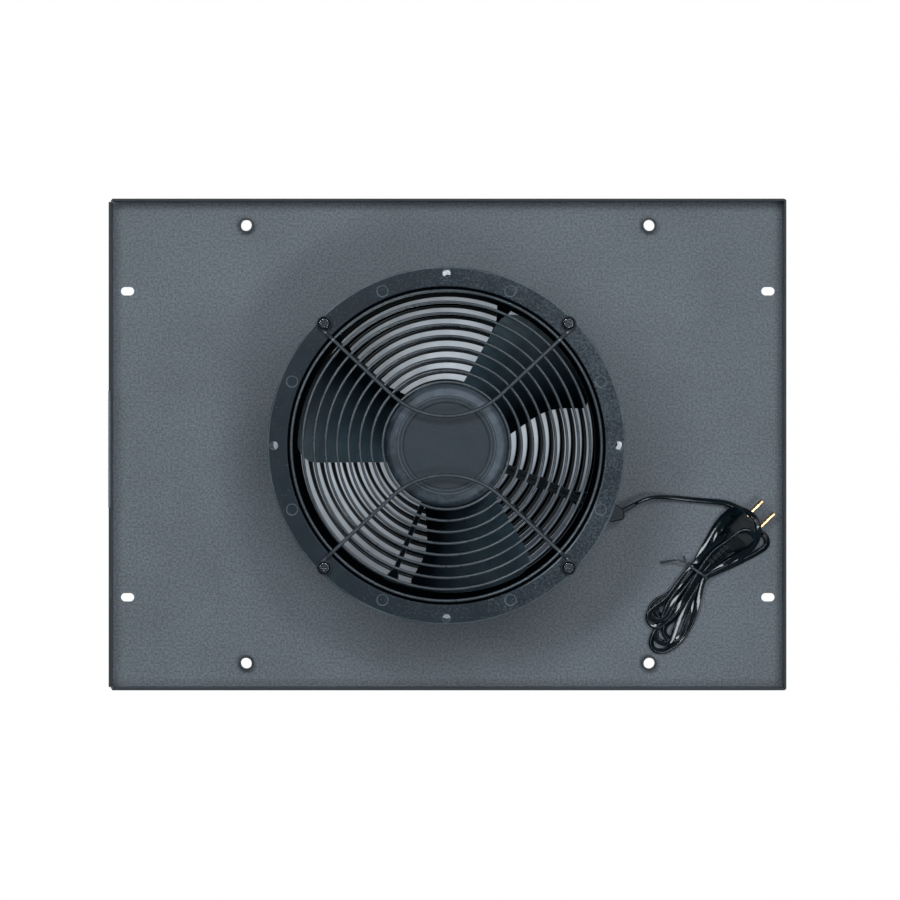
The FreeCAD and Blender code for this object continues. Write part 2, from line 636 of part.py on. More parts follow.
def coil(index):
    """One coil round a tooth, clear of the yoke and the tooth's tip."""
    inner, outer = STATOR_YOKE_RADIUS + COIL_GAP, STATOR_RADIUS - TOOTH_TIP - 2 * COIL_GAP
    half = TOOTH_WIDTH / 2 + FIT
    wide = half + COIL_THICKNESS
    low, high = STACK_BASE - COIL_OVERHANG, STACK_TOP + COIL_OVERHANG
    body = block((inner, -wide, low), (outer, wide, high))
    along = [e for e in body.Edges if abs(e.Vertexes[0].X - e.Vertexes[-1].X) > 1]
    body = body.makeFillet(COIL_THICKNESS * 0.8, along)
    body = body.cut(block((inner - 1, -half, STACK_BASE - FIT), (outer + 1, half, STACK_TOP + FIT)))
    return turned(body, index * 360 / TOOTH_COUNT)


def shaft():
    rod = disc(SHAFT_RADIUS, REAR_BEARING - SHAFT_TAIL, HUB_CEILING)
    low = circlip_level()
    groove = ring(SHAFT_RADIUS + OVERLAP, CIRCLIP_GROOVE, low, low + CIRCLIP_THICKNESS)
    return rod.cut(groove)


def circlip_level():
    return REAR_BEARING - CIRCLIP_THICKNESS - 4 * FIT


def circlip():
    low = circlip_level()
    clip = ring(CIRCLIP_RADIUS, CIRCLIP_GROOVE + FIT, low + FIT, low + CIRCLIP_THICKNESS - FIT)
    mouth = CIRCLIP_GROOVE * 0.7
    return clip.cut(block((0, -mouth, low - 1), (CIRCLIP_RADIUS + 1, mouth, low + 2)))


def rotor_cup():
    low = HUB_REAR + CUP_INSET
    cup = disc(CUP_RADIUS - FIT, low, HUB_CEILING)
    cup = cup.cut(disc(CAGE_RADIUS, low - 1, CUP_CEILING))
    cup = cup.fuse(disc(CUP_BOSS_RADIUS, TUBE_FRONT + CUP_BOSS_GAP, CUP_CEILING))
    return cup.cut(disc(SHAFT_RADIUS, low, HUB_CEILING + 1))


def cage_ring():
    low, high = STACK_BASE - CAGE_OVERLAP, STACK_TOP + CAGE_OVERLAP
    return ring(CAGE_RADIUS - FIT / 2, STATOR_RADIUS + AIR_GAP, low, high)


# ---- Impeller ----
def blade_height(ends, x):
    share = (x - HUB_RADIUS) / (TIP_RADIUS - HUB_RADIUS)
    return ends[0] + (ends[1] - ends[0]) * share


def blade_near(x):
    return BLADE_NEAR_OFFSET + BLADE_NEAR_LEAN * x


def blade_far(x):
    for (x0, y0), (x1, y1) in zip(BLADE_FAR_POINTS, BLADE_FAR_POINTS[1:]):
        if x <= x1 or x1 == BLADE_FAR_POINTS[-1][0]:
            return y0 + (y1 - y0) * (x - x0) / (x1 - x0)


def blade_section(x):
    """A closed section across the blade: two smooth sides along the camber and two short ends."""
    near, far = blade_near(x), blade_far(x)
    top, bottom = blade_height(BLADE_NEAR_HEIGHT, x), blade_height(BLADE_FAR_HEIGHT, x)
    sides = ([], [])
    for i in range(SECTION_POINTS):
        t = (1 + 2 * BLADE_OVERRUN) * i / (SECTION_POINTS - 1) - BLADE_OVERRUN
        y = near + (far - near) * t
        z = top + (bottom - top) * (BLADE_CAMBER * t + (1 - BLADE_CAMBER) * t * t)
        slope = (bottom - top) * (BLADE_CAMBER + 2 * (1 - BLADE_CAMBER) * t)
        normal = Vector(0, -slope, far - near).normalize()
        for side, points in zip((-0.5, 0.5), sides):
            points.append(Vector(x, y, z) + normal * (side * BLADE_THICKNESS))
    curves = []
    for points in sides:
        curve = Part.BSplineCurve()
        curve.interpolate(points)
        curves.append(curve.toShape())
    ends = [Part.LineSegment(sides[0][i], sides[1][i]).toShape() for i in (0, -1)]
    return Part.Wire(Part.sortEdges([curves[0], ends[1], curves[1], ends[0]])[0])


def blade_plan():
    """The blade's outline seen along the axis, as a prism with a rounded corner at the leading tip."""
    far = [Vector(x, y, 0) for x, y in BLADE_FAR_POINTS]
    curve = Part.BSplineCurve()
    curve.interpolate(far)
    inner = far[0].x - 4 * OVERLAP
    root_far = Vector(inner, far[0].y, 0)
    root_near = Vector(inner, blade_near(inner), 0)
    reach = TIP_RADIUS * BLADE_SPARE
    tip_near = Vector(reach, blade_near(reach), 0)
    corners = [far[-1], Vector(reach, far[-1].y, 0), tip_near, root_near, root_far, far[0]]
    edges = [Part.LineSegment(a, b).toShape() for a, b in zip(corners, corners[1:])]
    plan = Part.Face(Part.Wire([curve.toShape()] + edges)).extrude(Vector(0, 0, HUB_FACE))
    plan = plan.common(ring(TIP_RADIUS, HUB_RADIUS - HUB_WALL / 2, 0, HUB_FACE))
    at_tip = TIP_RADIUS - OVERLAP / 10
    tip = [e for e in plan.Edges if upright(e) and e.Vertexes[0].Point.cross(Z).Length > at_tip]
    tip.sort(key=lambda e: e.Vertexes[0].Y)
    plan = plan.makeFillet(BLADE_TIP_CORNER, [tip[-1]])
    return plan.makeFillet(BLADE_TIP_CORNER / 3, nearest_edges(plan, tip[0].Vertexes[0].Point))


def nearest_edges(shape, point):
    edges = [e for e in shape.Edges if upright(e)]
    edges.sort(key=lambda e: math.hypot(e.Vertexes[0].X - point.x, e.Vertexes[0].Y - point.y))
    return edges[:1]


def blade(index):
    sheet = Part.makeLoft([blade_section(x * TIP_RADIUS) for x in BLADE_STATIONS], True, False)
    body = sheet.common(blade_plan())
    return turned(body, BLADE_ANGLE + 360 / BLADE_COUNT * index)


def hub():
    """The cup over the motor: a sunk disc, two fine ridges round it and a rounded edge."""
    floor = HUB_FACE - HUB_DISC_STEP
    points = [(HUB_RADIUS, HUB_FACE - HUB_EDGE_RADIUS), (HUB_RADIUS, HUB_REAR), (CUP_RADIUS, HUB_REAR)]
    points += [(CUP_RADIUS, HUB_CEILING), (0, HUB_CEILING), (0, floor), (HUB_DISC_RADIUS, floor)]
    points.append((HUB_DISC_RADIUS, HUB_FACE))
    for outside in HUB_RIDGES:
        radius = HUB_DISC_RADIUS + outside
        crest = (radius, HUB_FACE + HUB_RIDGE)
        points += [(radius - HUB_RIDGE, HUB_FACE), crest, (radius + HUB_RIDGE, HUB_FACE)]
    points.append((HUB_RADIUS - HUB_EDGE_RADIUS, HUB_FACE))
    corners = [Vector(r, 0, z) for r, z in points]
    edges = [Part.LineSegment(a, b).toShape() for a, b in zip(corners, corners[1:])]
    back = HUB_EDGE_RADIUS * (1 - math.sqrt(0.5))
    middle = Vector(HUB_RADIUS - back, 0, HUB_FACE - back)
    edges.append(Part.Arc(corners[-1], middle, corners[0]).toShape())
    return revolved(edges)


def impeller():
    return hub().multiFuse([blade(i) for i in range(BLADE_COUNT)]).removeSplitter()


# ---- Guards, drawn on the plane z = 0 with their outside towards +Z ----
def guard_rings():
    radii = [RING_FIRST_RADIUS + RING_PITCH * i for i in range(RING_COUNT)]
    return Part.makeCompound([flat_sided_ring(r, RING_WIRE, RING_SIDES, RING_HEIGHT) for r in radii])


def stay_angle():
    """A leg runs from the axis past the side of its screw, so it touches the eyelet's circle."""
    return HOLE_STEP - math.degrees(math.asin(EYELET_RADIUS / HOLE_CIRCLE_RADIUS))


def guard_stay():
    """One bent wire: an eyelet, a ramp, a leg, the middle bend, and the same again mirrored."""
    lean = stay_angle()
    touch = HOLE_CIRCLE_RADIUS * math.cos(math.radians(HOLE_STEP - lean))
    half = STAY_WIRE / 2
    ramp = [polar(STAY_RAMP[1], lean, half), polar(STAY_RAMP[0], lean, STAY_HEIGHT)]
    right = [polar(touch, lean, half)] + ramp
    left = [Vector(-p.x, p.y, p.z) for p in reversed(right)]
    points = right + [Vector(0, 0, STAY_HEIGHT)] + left
    cosine = math.cos(math.radians(lean))
    middle = STAY_VERTEX * cosine / (1 - cosine)
    radii = [STAY_RAMP_RADIUS, STAY_RAMP_RADIUS, middle, STAY_RAMP_RADIUS, STAY_RAMP_RADIUS]
    stay = tube(rounded_path(points, radii), half, STAY_SIDES)
    for side in (-1, 1):
        screw = polar(HOLE_CIRCLE_RADIUS, 90 - side * HOLE_STEP)
        stay = stay.fuse(flat_sided_ring(EYELET_RADIUS, STAY_WIRE, STAY_SIDES, half, screw))
    return stay


def guard(shape, top_face, outward):
    """Puts a guard or its screws on the intake face, or turned over on the panel's outer face."""
    copy = shape.copy()
    if outward < 0:
        copy.rotate(ORIGIN, Vector(1, 0, 0), 180)
    copy.translate(Vector(0, 0, top_face))
    return copy


def guard_stays():
    stay = guard_stay()
    return Part.makeCompound([stay, turned(stay, 180)])


# ---- Fasteners ----
def pan_screw(length):
    """A cross-recessed pan head whose underside is at z = 0, with the thread below it."""
    shoulder = SCREW_HEAD * 0.5
    crown = SCREW_HEAD_RADIUS - shoulder
    points = [(0, -length), (SCREW_RADIUS, -length), (SCREW_RADIUS, 0), (SCREW_HEAD_RADIUS, 0)]
    points += [(SCREW_HEAD_RADIUS, shoulder), (crown, SCREW_HEAD), (0, SCREW_HEAD)]
    body = revolved(profile(points))
    half, reach = SCREW_RECESS_WIDTH / 2, SCREW_RECESS_LENGTH / 2
    cross = block((-reach, -half, SCREW_HEAD - SCREW_RECESS), (reach, half, SCREW_HEAD + OVERLAP))
    for turn in (0, 90):
        body = body.cut(turned(cross, turn))
    return body


def around(shape, angles):
    return [shape.translated(polar(HOLE_CIRCLE_RADIUS, a)) for a in angles]


def nut(low):
    corners = [polar(NUT_FLATS / math.sqrt(3), 60 * k) for k in range(6)]
    body = outline([(p.x, p.y) for p in corners], low, low + NUT_HEIGHT)
    return body.cut(disc(SCREW_RADIUS + FIT, low - 1, low + NUT_HEIGHT + 1))


# ---- Terminals, connector and cord ----
def along_lead(shape):
    return turned(shape, LEAD_ANGLE)


def terminal_slots(grown):
    half_t, half_w = TERMINAL_THICKNESS / 2 + grown, TERMINAL_WIDTH / 2 + grown
    slots = []
    for side in (-1, 1):
        y = side * TERMINAL_SPACING / 2
        low = (LEAD_END_RADIUS - 2 * grown, y - half_t, LEAD_LEVEL - half_w)
        slots.append(block(low, (TERMINAL_END + 2 * grown, y + half_t, LEAD_LEVEL + half_w)))
    return slots


def terminal_block():
    half = BLOCK_WIDTH / 2
    body = block((BARREL_RADIUS - 2, -half, REAR_FLANGE_TOP), (FAN_RADIUS, half, BLOCK_TOP))
    body = body.cut(disc(BARREL_RADIUS + FIT, 0, BLOCK_TOP + 1))
    pocket = TERMINAL_SPACING / 2 + TERMINAL_THICKNESS
    half_z = LEAD_RADIUS + POCKET_GAP
    far = (LEAD_END_RADIUS, pocket, LEAD_LEVEL + half_z)
    body = body.cut(block((BARREL_RADIUS - 2, -pocket, LEAD_LEVEL - half_z), far))
    for cut in terminal_slots(FIT):
        body = body.cut(cut)
    return along_lead(body)


def oblong(x, width, height, corner):
    """A rounded oblong across the X axis."""
    box = block((x - OVERLAP, -width / 2, -height / 2), (x, width / 2, height / 2))
    along = [e for e in box.Edges if abs(e.Vertexes[0].X - e.Vertexes[-1].X) > OVERLAP / 2]
    box = box.makeFillet(corner, along)
    return max(box.Faces, key=lambda f: f.CenterOfMass.x).OuterWire


def connector():
    back = FAN_RADIUS + CONNECTOR_GAP
    half = BLOCK_WIDTH / 2
    front = [(FAN_RADIUS + x, y) for x, y in CONNECTOR_OUTLINE]
    points = [(back, -half)] + front + [(back, half)]
    top = CONNECTOR_BOTTOM + CONNECTOR_HEIGHT
    body = outline(points, CONNECTOR_BOTTOM, top)
    rims = edges_at(body, lambda p: p.x > back + 1)
    body = body.makeFillet(CONNECTOR_CORNER, [e for e in rims if not upright(e)])
    ends = []
    for x, (width, height) in zip((0, RELIEF_LENGTH), RELIEF_SIZES):
        ends.append(oblong(x, width, height, RELIEF_CORNER))
    start = relief_start()
    relief = Part.makeLoft(ends, True, True)
    body = body.fuse(placed(relief, start.x, start.y, start.z, RELIEF_ANGLE - LEAD_ANGLE))
    for cut in terminal_slots(FIT):
        body = body.cut(cut)
    return along_lead(body)


def relief_start():
    return Vector(FAN_RADIUS + RELIEF_START[0], RELIEF_START[1], LEAD_LEVEL)


def relief_heading(turn=0.0):
    return polar(1, RELIEF_ANGLE + turn)


def relief_end():
    start = relief_start()
    turn = FreeCAD.Rotation(Z, LEAD_ANGLE)
    return turn.multVec(start) + relief_heading() * RELIEF_LENGTH


def leads():
    """Two leads from the windings, down to the strut's channel and out to the terminals."""
    wires = []
    top = STACK_BASE - COIL_OVERHANG
    for side in (-1, 1):
        y = side * LEAD_SPACING / 2
        bend = Vector(LEAD_START_RADIUS + LEAD_SLOPE, y, LEAD_LEVEL)
        points = [Vector(LEAD_START_RADIUS, y, top), bend, Vector(LEAD_END_RADIUS, y, LEAD_LEVEL)]
        wires.append(along_lead(tube(rounded_path(points, [LEAD_BEND_RADIUS]), LEAD_RADIUS)))
    return wires


def lead_clip():
    half = LEAD_STRUT_WIDTH / 2
    wide = half + FIT + CLIP_WALL
    low, high = STRUT_TOP - CLIP_LEG, STRUT_TOP + CLIP_WALL
    clip = block((CLIP_RADIUS - CLIP_WIDTH / 2, -wide, low), (CLIP_RADIUS + CLIP_WIDTH / 2, wide, high))
    clip = clip.cut(block((0, -half - FIT, 0), (BARREL_RADIUS, half + FIT, STRUT_TOP)))
    return along_lead(clip)


def cord_path():
    exit_point = relief_end()
    points = [exit_point, exit_point + relief_heading() * CORD_FIRST_RUN] + [Vector(*p) for p in CORD_POINTS]
    radii = []
    for a, b, c in zip(points, points[1:], points[2:]):
        turn = (b - a).getAngle(c - b)
        radii.append(CORD_ARC_SHARE * min((b - a).Length, (c - b).Length) / math.tan(turn / 2))
    print("cord radii", [round(r, 1) for r in radii])
    return rounded_path(points, radii)


def cord_lead():
    path = cord_path()
    solid = tube(path, CORD_WIDTH / 2)
    section = math.pi * CORD_WIDTH ** 2 / 4
    print("cord tube volume / (section x length): %.4f" % (solid.Volume / (section * path.Length)))
    return solid


def hank_ring(x, y, heading, width, height, lift, grown=0.0):
    """An upright oval across the hank's run."""
    level = INNER_FACE + lift + height / 2
    oval = Part.Ellipse(Vector(0, 0, 0), width / 2 + grown, height / 2 + grown).toShape()
    wire = Part.Wire(oval)
    wire.rotate(ORIGIN, Vector(1, 0, 0), 90)
    wire.rotate(ORIGIN, Z, heading - 90)
    wire.translate(Vector(x, y, level))
    return wire


def hank():
    body = Part.makeLoft([hank_ring(*section) for section in HANK_SECTIONS], True, False)
    pocket = plug_form(PLUG_POCKET_GAP + PLUG_RIB_RISE, 0)
    return body.cut(pocket).cut(plug_blades(PLUG_POCKET_GAP))


def hank_tie():
    """A flat tie wound round the hank's waist."""
    section = min(HANK_SECTIONS[1:], key=lambda s: s[3])
    across = polar(TIE_WIRE, section[2])
    prisms = []
    for grown in (TIE_GAP + TIE_WIRE, TIE_GAP):
        face = Part.Face(hank_ring(*section, grown=grown).translated(across * -0.5))
        prisms.append(face.extrude(across))
    return prisms[0].cut(prisms[1])


# ---- Plug, drawn along +X with its face at x = 0 ----
def plug_form(grown=0.0, rib_count=PLUG_RIB_COUNT):
    """The moulded body and its ribbed relief, or the pocket that it lies in."""
    both = 2 * grown
    front, waist = PLUG_SECTIONS
    sections = [oblong(grown, PLUG_WIDTH * front[1] + both, PLUG_HEIGHT * front[2] + both, PLUG_CORNER)]
    width, height = PLUG_WIDTH * waist[1] + both, PLUG_HEIGHT * waist[2] + both
    sections.append(oblong(PLUG_LENGTH * waist[0], width, height, PLUG_CORNER))
    width, height = PLUG_BACK_WIDTH + both, PLUG_BACK_HEIGHT + both
    sections.append(oblong(-PLUG_LENGTH - grown, width, height, PLUG_CORNER))
    body = Part.makeLoft(sections, True, True)
    start, end = PLUG_RELIEF_RADII
    back, backward = Vector(OVERLAP - PLUG_LENGTH, 0, 0), Vector(-1, 0, 0)
    relief = Part.makeCone(start + grown, end + grown, PLUG_RELIEF_LENGTH + OVERLAP, back, backward)
    ribs = []
    for i in range(rib_count):
        share = (i + 0.7) / rib_count
        radius = start + (end - start) * share + PLUG_RIB_RISE
        rib = Vector(-PLUG_LENGTH - PLUG_RELIEF_LENGTH * share, 0, 0)
        ribs.append(Part.makeCylinder(radius, PLUG_RIB_WIDTH, rib, Vector(1, 0, 0)))
    return at_plug(body.multiFuse([relief] + ribs))


def at_plug(shape):
    rolled = shape.copy()
    rolled.rotate(ORIGIN, Vector(1, 0, 0), PLUG_ROLL)
    return placed(rolled, PLUG_FACE[0], PLUG_FACE[1], PLUG_LEVEL, PLUG_ANGLE)


def plug_blades(grown=0.0):
    """The two flat blades with their holes, or the room for them in the body."""
    half_t, half_w = PLUG_BLADE_THICKNESS / 2 + grown, PLUG_BLADE_WIDTH / 2 + grown
    back, tip = -PLUG_BLADE_ROOT - grown, PLUG_BLADE_LENGTH + grown
    blades = []
    for side in (-1, 1):
        y = side * PLUG_BLADE_SPACING / 2
        body = block((back, y - half_t, -half_w), (tip, y + half_t, half_w))
        if not grown:
            end = edges_at(body, lambda p: p.x > tip - 0.1)
            body = body.makeChamfer(PLUG_BLADE_CHAMFER, [e for e in end if not upright(e)])
            start = Vector(tip - PLUG_BLADE_HOLE_INSET, y - OVERLAP, 0)
            hole = Part.makeCylinder(PLUG_BLADE_HOLE_RADIUS, 2 * OVERLAP, start, Vector(0, 1, 0))
            body = body.cut(hole)
        blades.append(body)
    return at_plug(Part.makeCompound(blades))


def plug_body():
    return plug_form().cut(plug_blades(0.001))


def write_fan():
    write("fan_housing", fan_housing())
    write("motor_bracket", motor_bracket())
    write("bracket_screws", *[bracket_screw(a) for a in bracket_screw_angles()])
    write("rear_bearing", *bearing(REAR_BEARING))
    write("front_bearing", *bearing(FRONT_BEARING))
    bearing_top = REAR_BEARING + BEARING_WIDTH
    washer = ring(BEARING_RADIUS - FIT, BEARING_RADIUS - BEARING_RACE, bearing_top, SHOULDER_REAR)
    write("preload_washer", washer)
    write("motor_end_cap", disc(BEARING_RADIUS - FIT, TUBE_REAR, TUBE_REAR + END_CAP_THICKNESS))
    write("stator_core", stator_core())
    write("stator_windings", *[coil(i) for i in range(TOOTH_COUNT)])
    write("shaft", shaft())
    write("circlip", circlip())
    write("rotor_cup", rotor_cup())
    write("rotor_cage", cage_ring())
    write("impeller", impeller())


def write_guards():
    rings, stays = guard_rings(), guard_stays()
    write("intake_guard_rings", guard(rings, FAN_TOP, 1))
    write("intake_guard_stays", guard(stays, FAN_TOP, 1))
    write("exhaust_guard_rings", guard(rings, 0, -1))
    write("exhaust_guard_stays", guard(stays, 0, -1))
    intake_screw = pan_screw(STAY_WIRE + FAN_FLANGE + BOSS_HEIGHT - BOSS_SPARE)
    screws = around(intake_screw, GUARD_ANGLES)
    write("intake_guard_screws", *[guard(s, FAN_TOP + STAY_WIRE, 1) for s in screws])
    exhaust_screw = pan_screw(STAY_WIRE + REAR_FLANGE_TOP + NUT_HEIGHT + SCREW_TAIL)
    screws = around(exhaust_screw, GUARD_ANGLES)
    write("exhaust_guard_screws", *[guard(s, -STAY_WIRE, -1) for s in screws])
    write("exhaust_guard_nuts", *around(nut(REAR_FLANGE_TOP), GUARD_ANGLES))


def write_fixings():
    washer_top = REAR_FLANGE_TOP + WASHER_THICKNESS
    screws = around(pan_screw(washer_top + NUT_HEIGHT + SCREW_TAIL), OPEN_ANGLES)
    write("fan_mount_screws", *[guard(s, 0, -1) for s in screws])
    washer = ring(WASHER_RADIUS, SCREW_RADIUS + FIT, REAR_FLANGE_TOP, washer_top)
    write("fan_mount_washers", *around(washer, OPEN_ANGLES))
    write("fan_mount_nuts", *around(nut(washer_top), OPEN_ANGLES))


def write_wiring():
    write("terminal_block", terminal_block())
    write("terminal_blades", *[along_lead(s) for s in terminal_slots(0)])
    write("cord_connector", connector())
    write("motor_leads", *leads())
    write("lead_clip", lead_clip())
    write("cord_lead", cord_lead())
    write("cord_hank", hank())
    write("hank_tie", hank_tie())
    write("plug_body", plug_body())
    write("plug_blades", plug_blades())


os.makedirs("parts", exist_ok=True)
write("panel", panel())
write("mounting_sleeves", *[sleeve(x, y) for x, y in SLEEVE_CENTRES])
write_fan()
write_guards()
write_fixings()
write_wiring()
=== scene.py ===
import math

import bmesh
import bpy
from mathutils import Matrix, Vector


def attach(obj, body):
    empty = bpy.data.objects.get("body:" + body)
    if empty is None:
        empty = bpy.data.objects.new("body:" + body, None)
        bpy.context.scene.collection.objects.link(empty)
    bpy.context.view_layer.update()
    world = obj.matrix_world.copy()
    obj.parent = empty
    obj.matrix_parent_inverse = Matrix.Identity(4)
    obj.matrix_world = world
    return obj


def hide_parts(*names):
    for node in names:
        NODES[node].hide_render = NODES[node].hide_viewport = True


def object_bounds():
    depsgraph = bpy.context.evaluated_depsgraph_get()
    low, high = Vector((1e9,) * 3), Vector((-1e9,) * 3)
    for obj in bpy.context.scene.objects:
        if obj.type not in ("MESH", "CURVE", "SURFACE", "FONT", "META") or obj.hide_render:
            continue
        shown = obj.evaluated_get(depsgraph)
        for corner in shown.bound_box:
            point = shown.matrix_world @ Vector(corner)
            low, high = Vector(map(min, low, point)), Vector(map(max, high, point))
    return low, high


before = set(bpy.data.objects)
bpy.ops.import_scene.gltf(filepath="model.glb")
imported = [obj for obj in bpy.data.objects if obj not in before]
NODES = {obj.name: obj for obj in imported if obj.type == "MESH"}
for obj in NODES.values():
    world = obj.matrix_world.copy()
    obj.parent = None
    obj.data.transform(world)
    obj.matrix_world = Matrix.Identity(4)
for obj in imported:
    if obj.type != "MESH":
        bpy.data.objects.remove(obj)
CAD_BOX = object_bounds()
MM = 0.001
UP = Vector((0, 0, 1))

# The guards' rings, in millimetres
RING_COUNT = 9
RING_PITCH = 7.9625
INNER_RING_RADIUS = 44.4
RING_RADII = [INNER_RING_RADIUS + RING_PITCH * i for i in range(RING_COUNT)]
RING_WIRE_RADIUS = 1.0
INTAKE_RING_LEVEL = 94.2
EXHAUST_RING_LEVEL = -3.7

# The rounded normal times the plain one: below the first it is a rim, above the second a face
RIM_BELOW = 0.90
FACE_ABOVE = 0.995


class Nodes:
    """A short way to build the node tree of a material or of the world."""

    def __init__(self, holder):
        holder.use_nodes = True
        self.holder = holder
        self.tree = holder.node_tree
        self.tree.nodes.clear()

    def add(self, kind, inputs=None, **settings):
        """Adds a node. An input is another node's output or a plain value."""
        node = self.tree.nodes.new(kind)
        for key, value in settings.items():
            setattr(node, key, value)
        for key, value in (inputs or {}).items():
            self.feed(node.inputs[key], value)
        return node

    def feed(self, socket, value):
        if isinstance(value, bpy.types.NodeSocket):
            self.tree.links.new(value, socket)
        else:
            socket.default_value = value

    def surface(self, shader):
        """Ends a material's tree with this shader, and returns the material."""
        self.add("ShaderNodeOutputMaterial", {"Surface": shader})
        return self.holder

    def place(self):
        return self.add("ShaderNodeNewGeometry").outputs["Position"]

    def place_xyz(self):
        return self.add("ShaderNodeSeparateXYZ", {"Vector": self.place()}).outputs

    def noise(self, scale, detail, rough, stretch=None):
        vector = self.place()
        if stretch:
            stretched = self.add("ShaderNodeMapping", {"Vector": vector, "Scale": stretch})
            vector = stretched.outputs["Vector"]
        inputs = {"Vector": vector, "Scale": scale, "Detail": detail, "Roughness": rough}
        return self.add("ShaderNodeTexNoise", inputs).outputs["Fac"]

    def ramp(self, fac, stops):
        """A colour ramp through stops of (position, colour or grey)."""
        node = self.add("ShaderNodeValToRGB", {"Fac": fac})
        ramp = node.color_ramp
        while len(ramp.elements) < len(stops):
            ramp.elements.new(0.5)
        for element, (position, value) in zip(ramp.elements, stops):
            element.position = position
            element.color = (*(value if isinstance(value, tuple) else (value,) * 3), 1.0)
        return node.outputs["Color"]

    def fade(self, value, start, end, low=0.0, high=1.0, shape="LINEAR"):
        """Goes from low at the start to high at the end, and stays level beyond them."""
        inputs = {"Value": value, "From Min": start, "From Max": end, "To Min": low, "To Max": high}
        return self.add("ShaderNodeMapRange", inputs, interpolation_type=shape).outputs[0]

    def math(self, operation, *values, clamp=False):
        node = self.add("ShaderNodeMath", operation=operation, use_clamp=clamp)
        for socket, value in zip(node.inputs, values):
            self.feed(socket, value)
        return node.outputs[0]

    def mix(self, fac, a, b, blend="MIX"):
        """Mixes two colours, each an output or a plain (r, g, b)."""
        node = self.add("ShaderNodeMix", data_type="RGBA", blend_type=blend)
        sockets = {socket.name: socket for socket in node.inputs if socket.enabled}
        self.feed(sockets["Factor"], fac)
        for name, value in (("A", a), ("B", b)):
            self.feed(sockets[name], (*value, 1.0) if isinstance(value, tuple) else value)
        return [socket for socket in node.outputs if socket.enabled][0]

    def length(self, x, y):
        squares = self.math("ADD", self.math("MULTIPLY", x, x), self.math("MULTIPLY", y, y))
        return self.math("SQRT", squares)

    def spot(self, x, y, a, b, reach):
        """1 at a place given in millimetres, falling smoothly to 0 at the reach."""
        away = self.length(self.math("SUBTRACT", x, a * MM), self.math("SUBTRACT", y, b * MM))
        return self.fade(away, 0.0, reach * MM, 1.0, 0.0, "SMOOTHSTEP")

    def rims(self, radius):
        """The normal rounded over the rims, and a mask with 1 on rims and 0 on faces."""
        soft = self.add("ShaderNodeBevel", {"Radius": radius}, samples=6).outputs[0]
        plain = self.add("ShaderNodeNewGeometry").outputs["Normal"]
        same = self.add("ShaderNodeVectorMath", {0: soft, 1: plain}, operation="DOT_PRODUCT")
        return soft, self.fade(same.outputs["Value"], RIM_BELOW, FACE_ABOVE, 1.0, 0.0)

    def bump(self, height, strength, distance, normal=None):
        inputs = {"Height": height, "Strength": strength, "Distance": distance}
        if normal:
            inputs["Normal"] = normal
        return self.add("ShaderNodeBump", inputs).outputs["Normal"]

    def principled(self, **inputs):
        """A Principled shader. An underscore in an input's name stands for a space."""
        named = {key.replace("_", " "): value for key, value in inputs.items()}
        return self.add("ShaderNodeBsdfPrincipled", named).outputs["BSDF"]


def new_material(name):
    return Nodes(bpy.data.materials.new(name))


# ---- Camera, world, lamps and floor ----
def add_camera():
    data = bpy.data.cameras.new("camera")
    data.sensor_width = 36.0
    data.lens = 125.8
    data.shift_x = -0.0322
    data.shift_y = -0.0411
    data.clip_end = 20.0
    camera = bpy.data.objects.new("camera", data)
    camera.location = (0.0227, 0.0227, 2.285)
    bpy.context.scene.collection.objects.link(camera)
    bpy.context.scene.camera = camera


# The direction of the ceiling's brightest part, and how the light falls off away from it
BRIGHTEST = (0.28, 0.22, 0.934)
CEILING = (
    (0.50, (0.075, 0.100, 0.118)),
    (0.88, (0.145, 0.165, 0.185)),
    (0.93, (0.335, 0.345, 0.37)),
    (0.95, (0.66, 0.67, 0.71)),
    (0.975, (1.14, 1.15, 1.20)),
)
# Each lamp's name, its place and size in metres, and its power in watts
LAMPS = (
    ("key", (-0.74, 0.74, 2.10), (1.5, 0.35), 20.0),
    ("second", (0.62, 0.78, 2.10), (0.9, 0.30), 9.0),
    ("near", (0.70, -0.72, 2.05), (1.1, 0.30), 11.5),
    ("below", (0.4, -0.9, -1.5), (1.0, 1.0), 14.0),
)
LAMP_COLOR = (0.86, 0.95, 1.0)


def add_world():
    """A bright ceiling and dim walls, white where the camera sees them."""
    world = bpy.data.worlds.new("studio")
    bpy.context.scene.world = world
    n = Nodes(world)
    heading = n.add("ShaderNodeTexCoord").outputs["Generated"]
    facing = n.add("ShaderNodeVectorMath", {0: heading, 1: BRIGHTEST}, operation="DOT_PRODUCT")
    light = n.ramp(facing.outputs["Value"], CEILING)
    soft = n.add("ShaderNodeBackground", {"Color": light, "Strength": 1.0}).outputs[0]
    white = n.add("ShaderNodeBackground", {"Color": (1, 1, 1, 1), "Strength": 1.0}).outputs[0]
    camera = n.add("ShaderNodeLightPath").outputs["Is Camera Ray"]
    both = n.add("ShaderNodeMixShader", {0: camera, 1: soft, 2: white}).outputs[0]
    n.add("ShaderNodeOutputWorld", {"Surface": both})


def add_lamp(name, location, size, power):
    """A rectangular lamp that faces the fan."""
    data = bpy.data.lights.new(name, "AREA")
    data.shape = "RECTANGLE"
    data.size, data.size_y = size
    data.energy = power
    data.color = LAMP_COLOR
    lamp = bpy.data.objects.new(name, data)
    lamp.location = location
    lamp.rotation_euler = (-Vector(location)).to_track_quat("-Z", "Y").to_euler()
    bpy.context.scene.collection.objects.link(lamp)


FLOOR_SIZE = 8.0
FLOOR_GAP = 0.0002  # below the part
# The round patch under the fan and the white floor meet between these radii, in metres
PATCH_EDGE = (0.114, 0.120)
PATCH_LIGHT = 0.17
PATCH_CLOUDS = [(0.3, 0.75), (0.7, 1.15)]
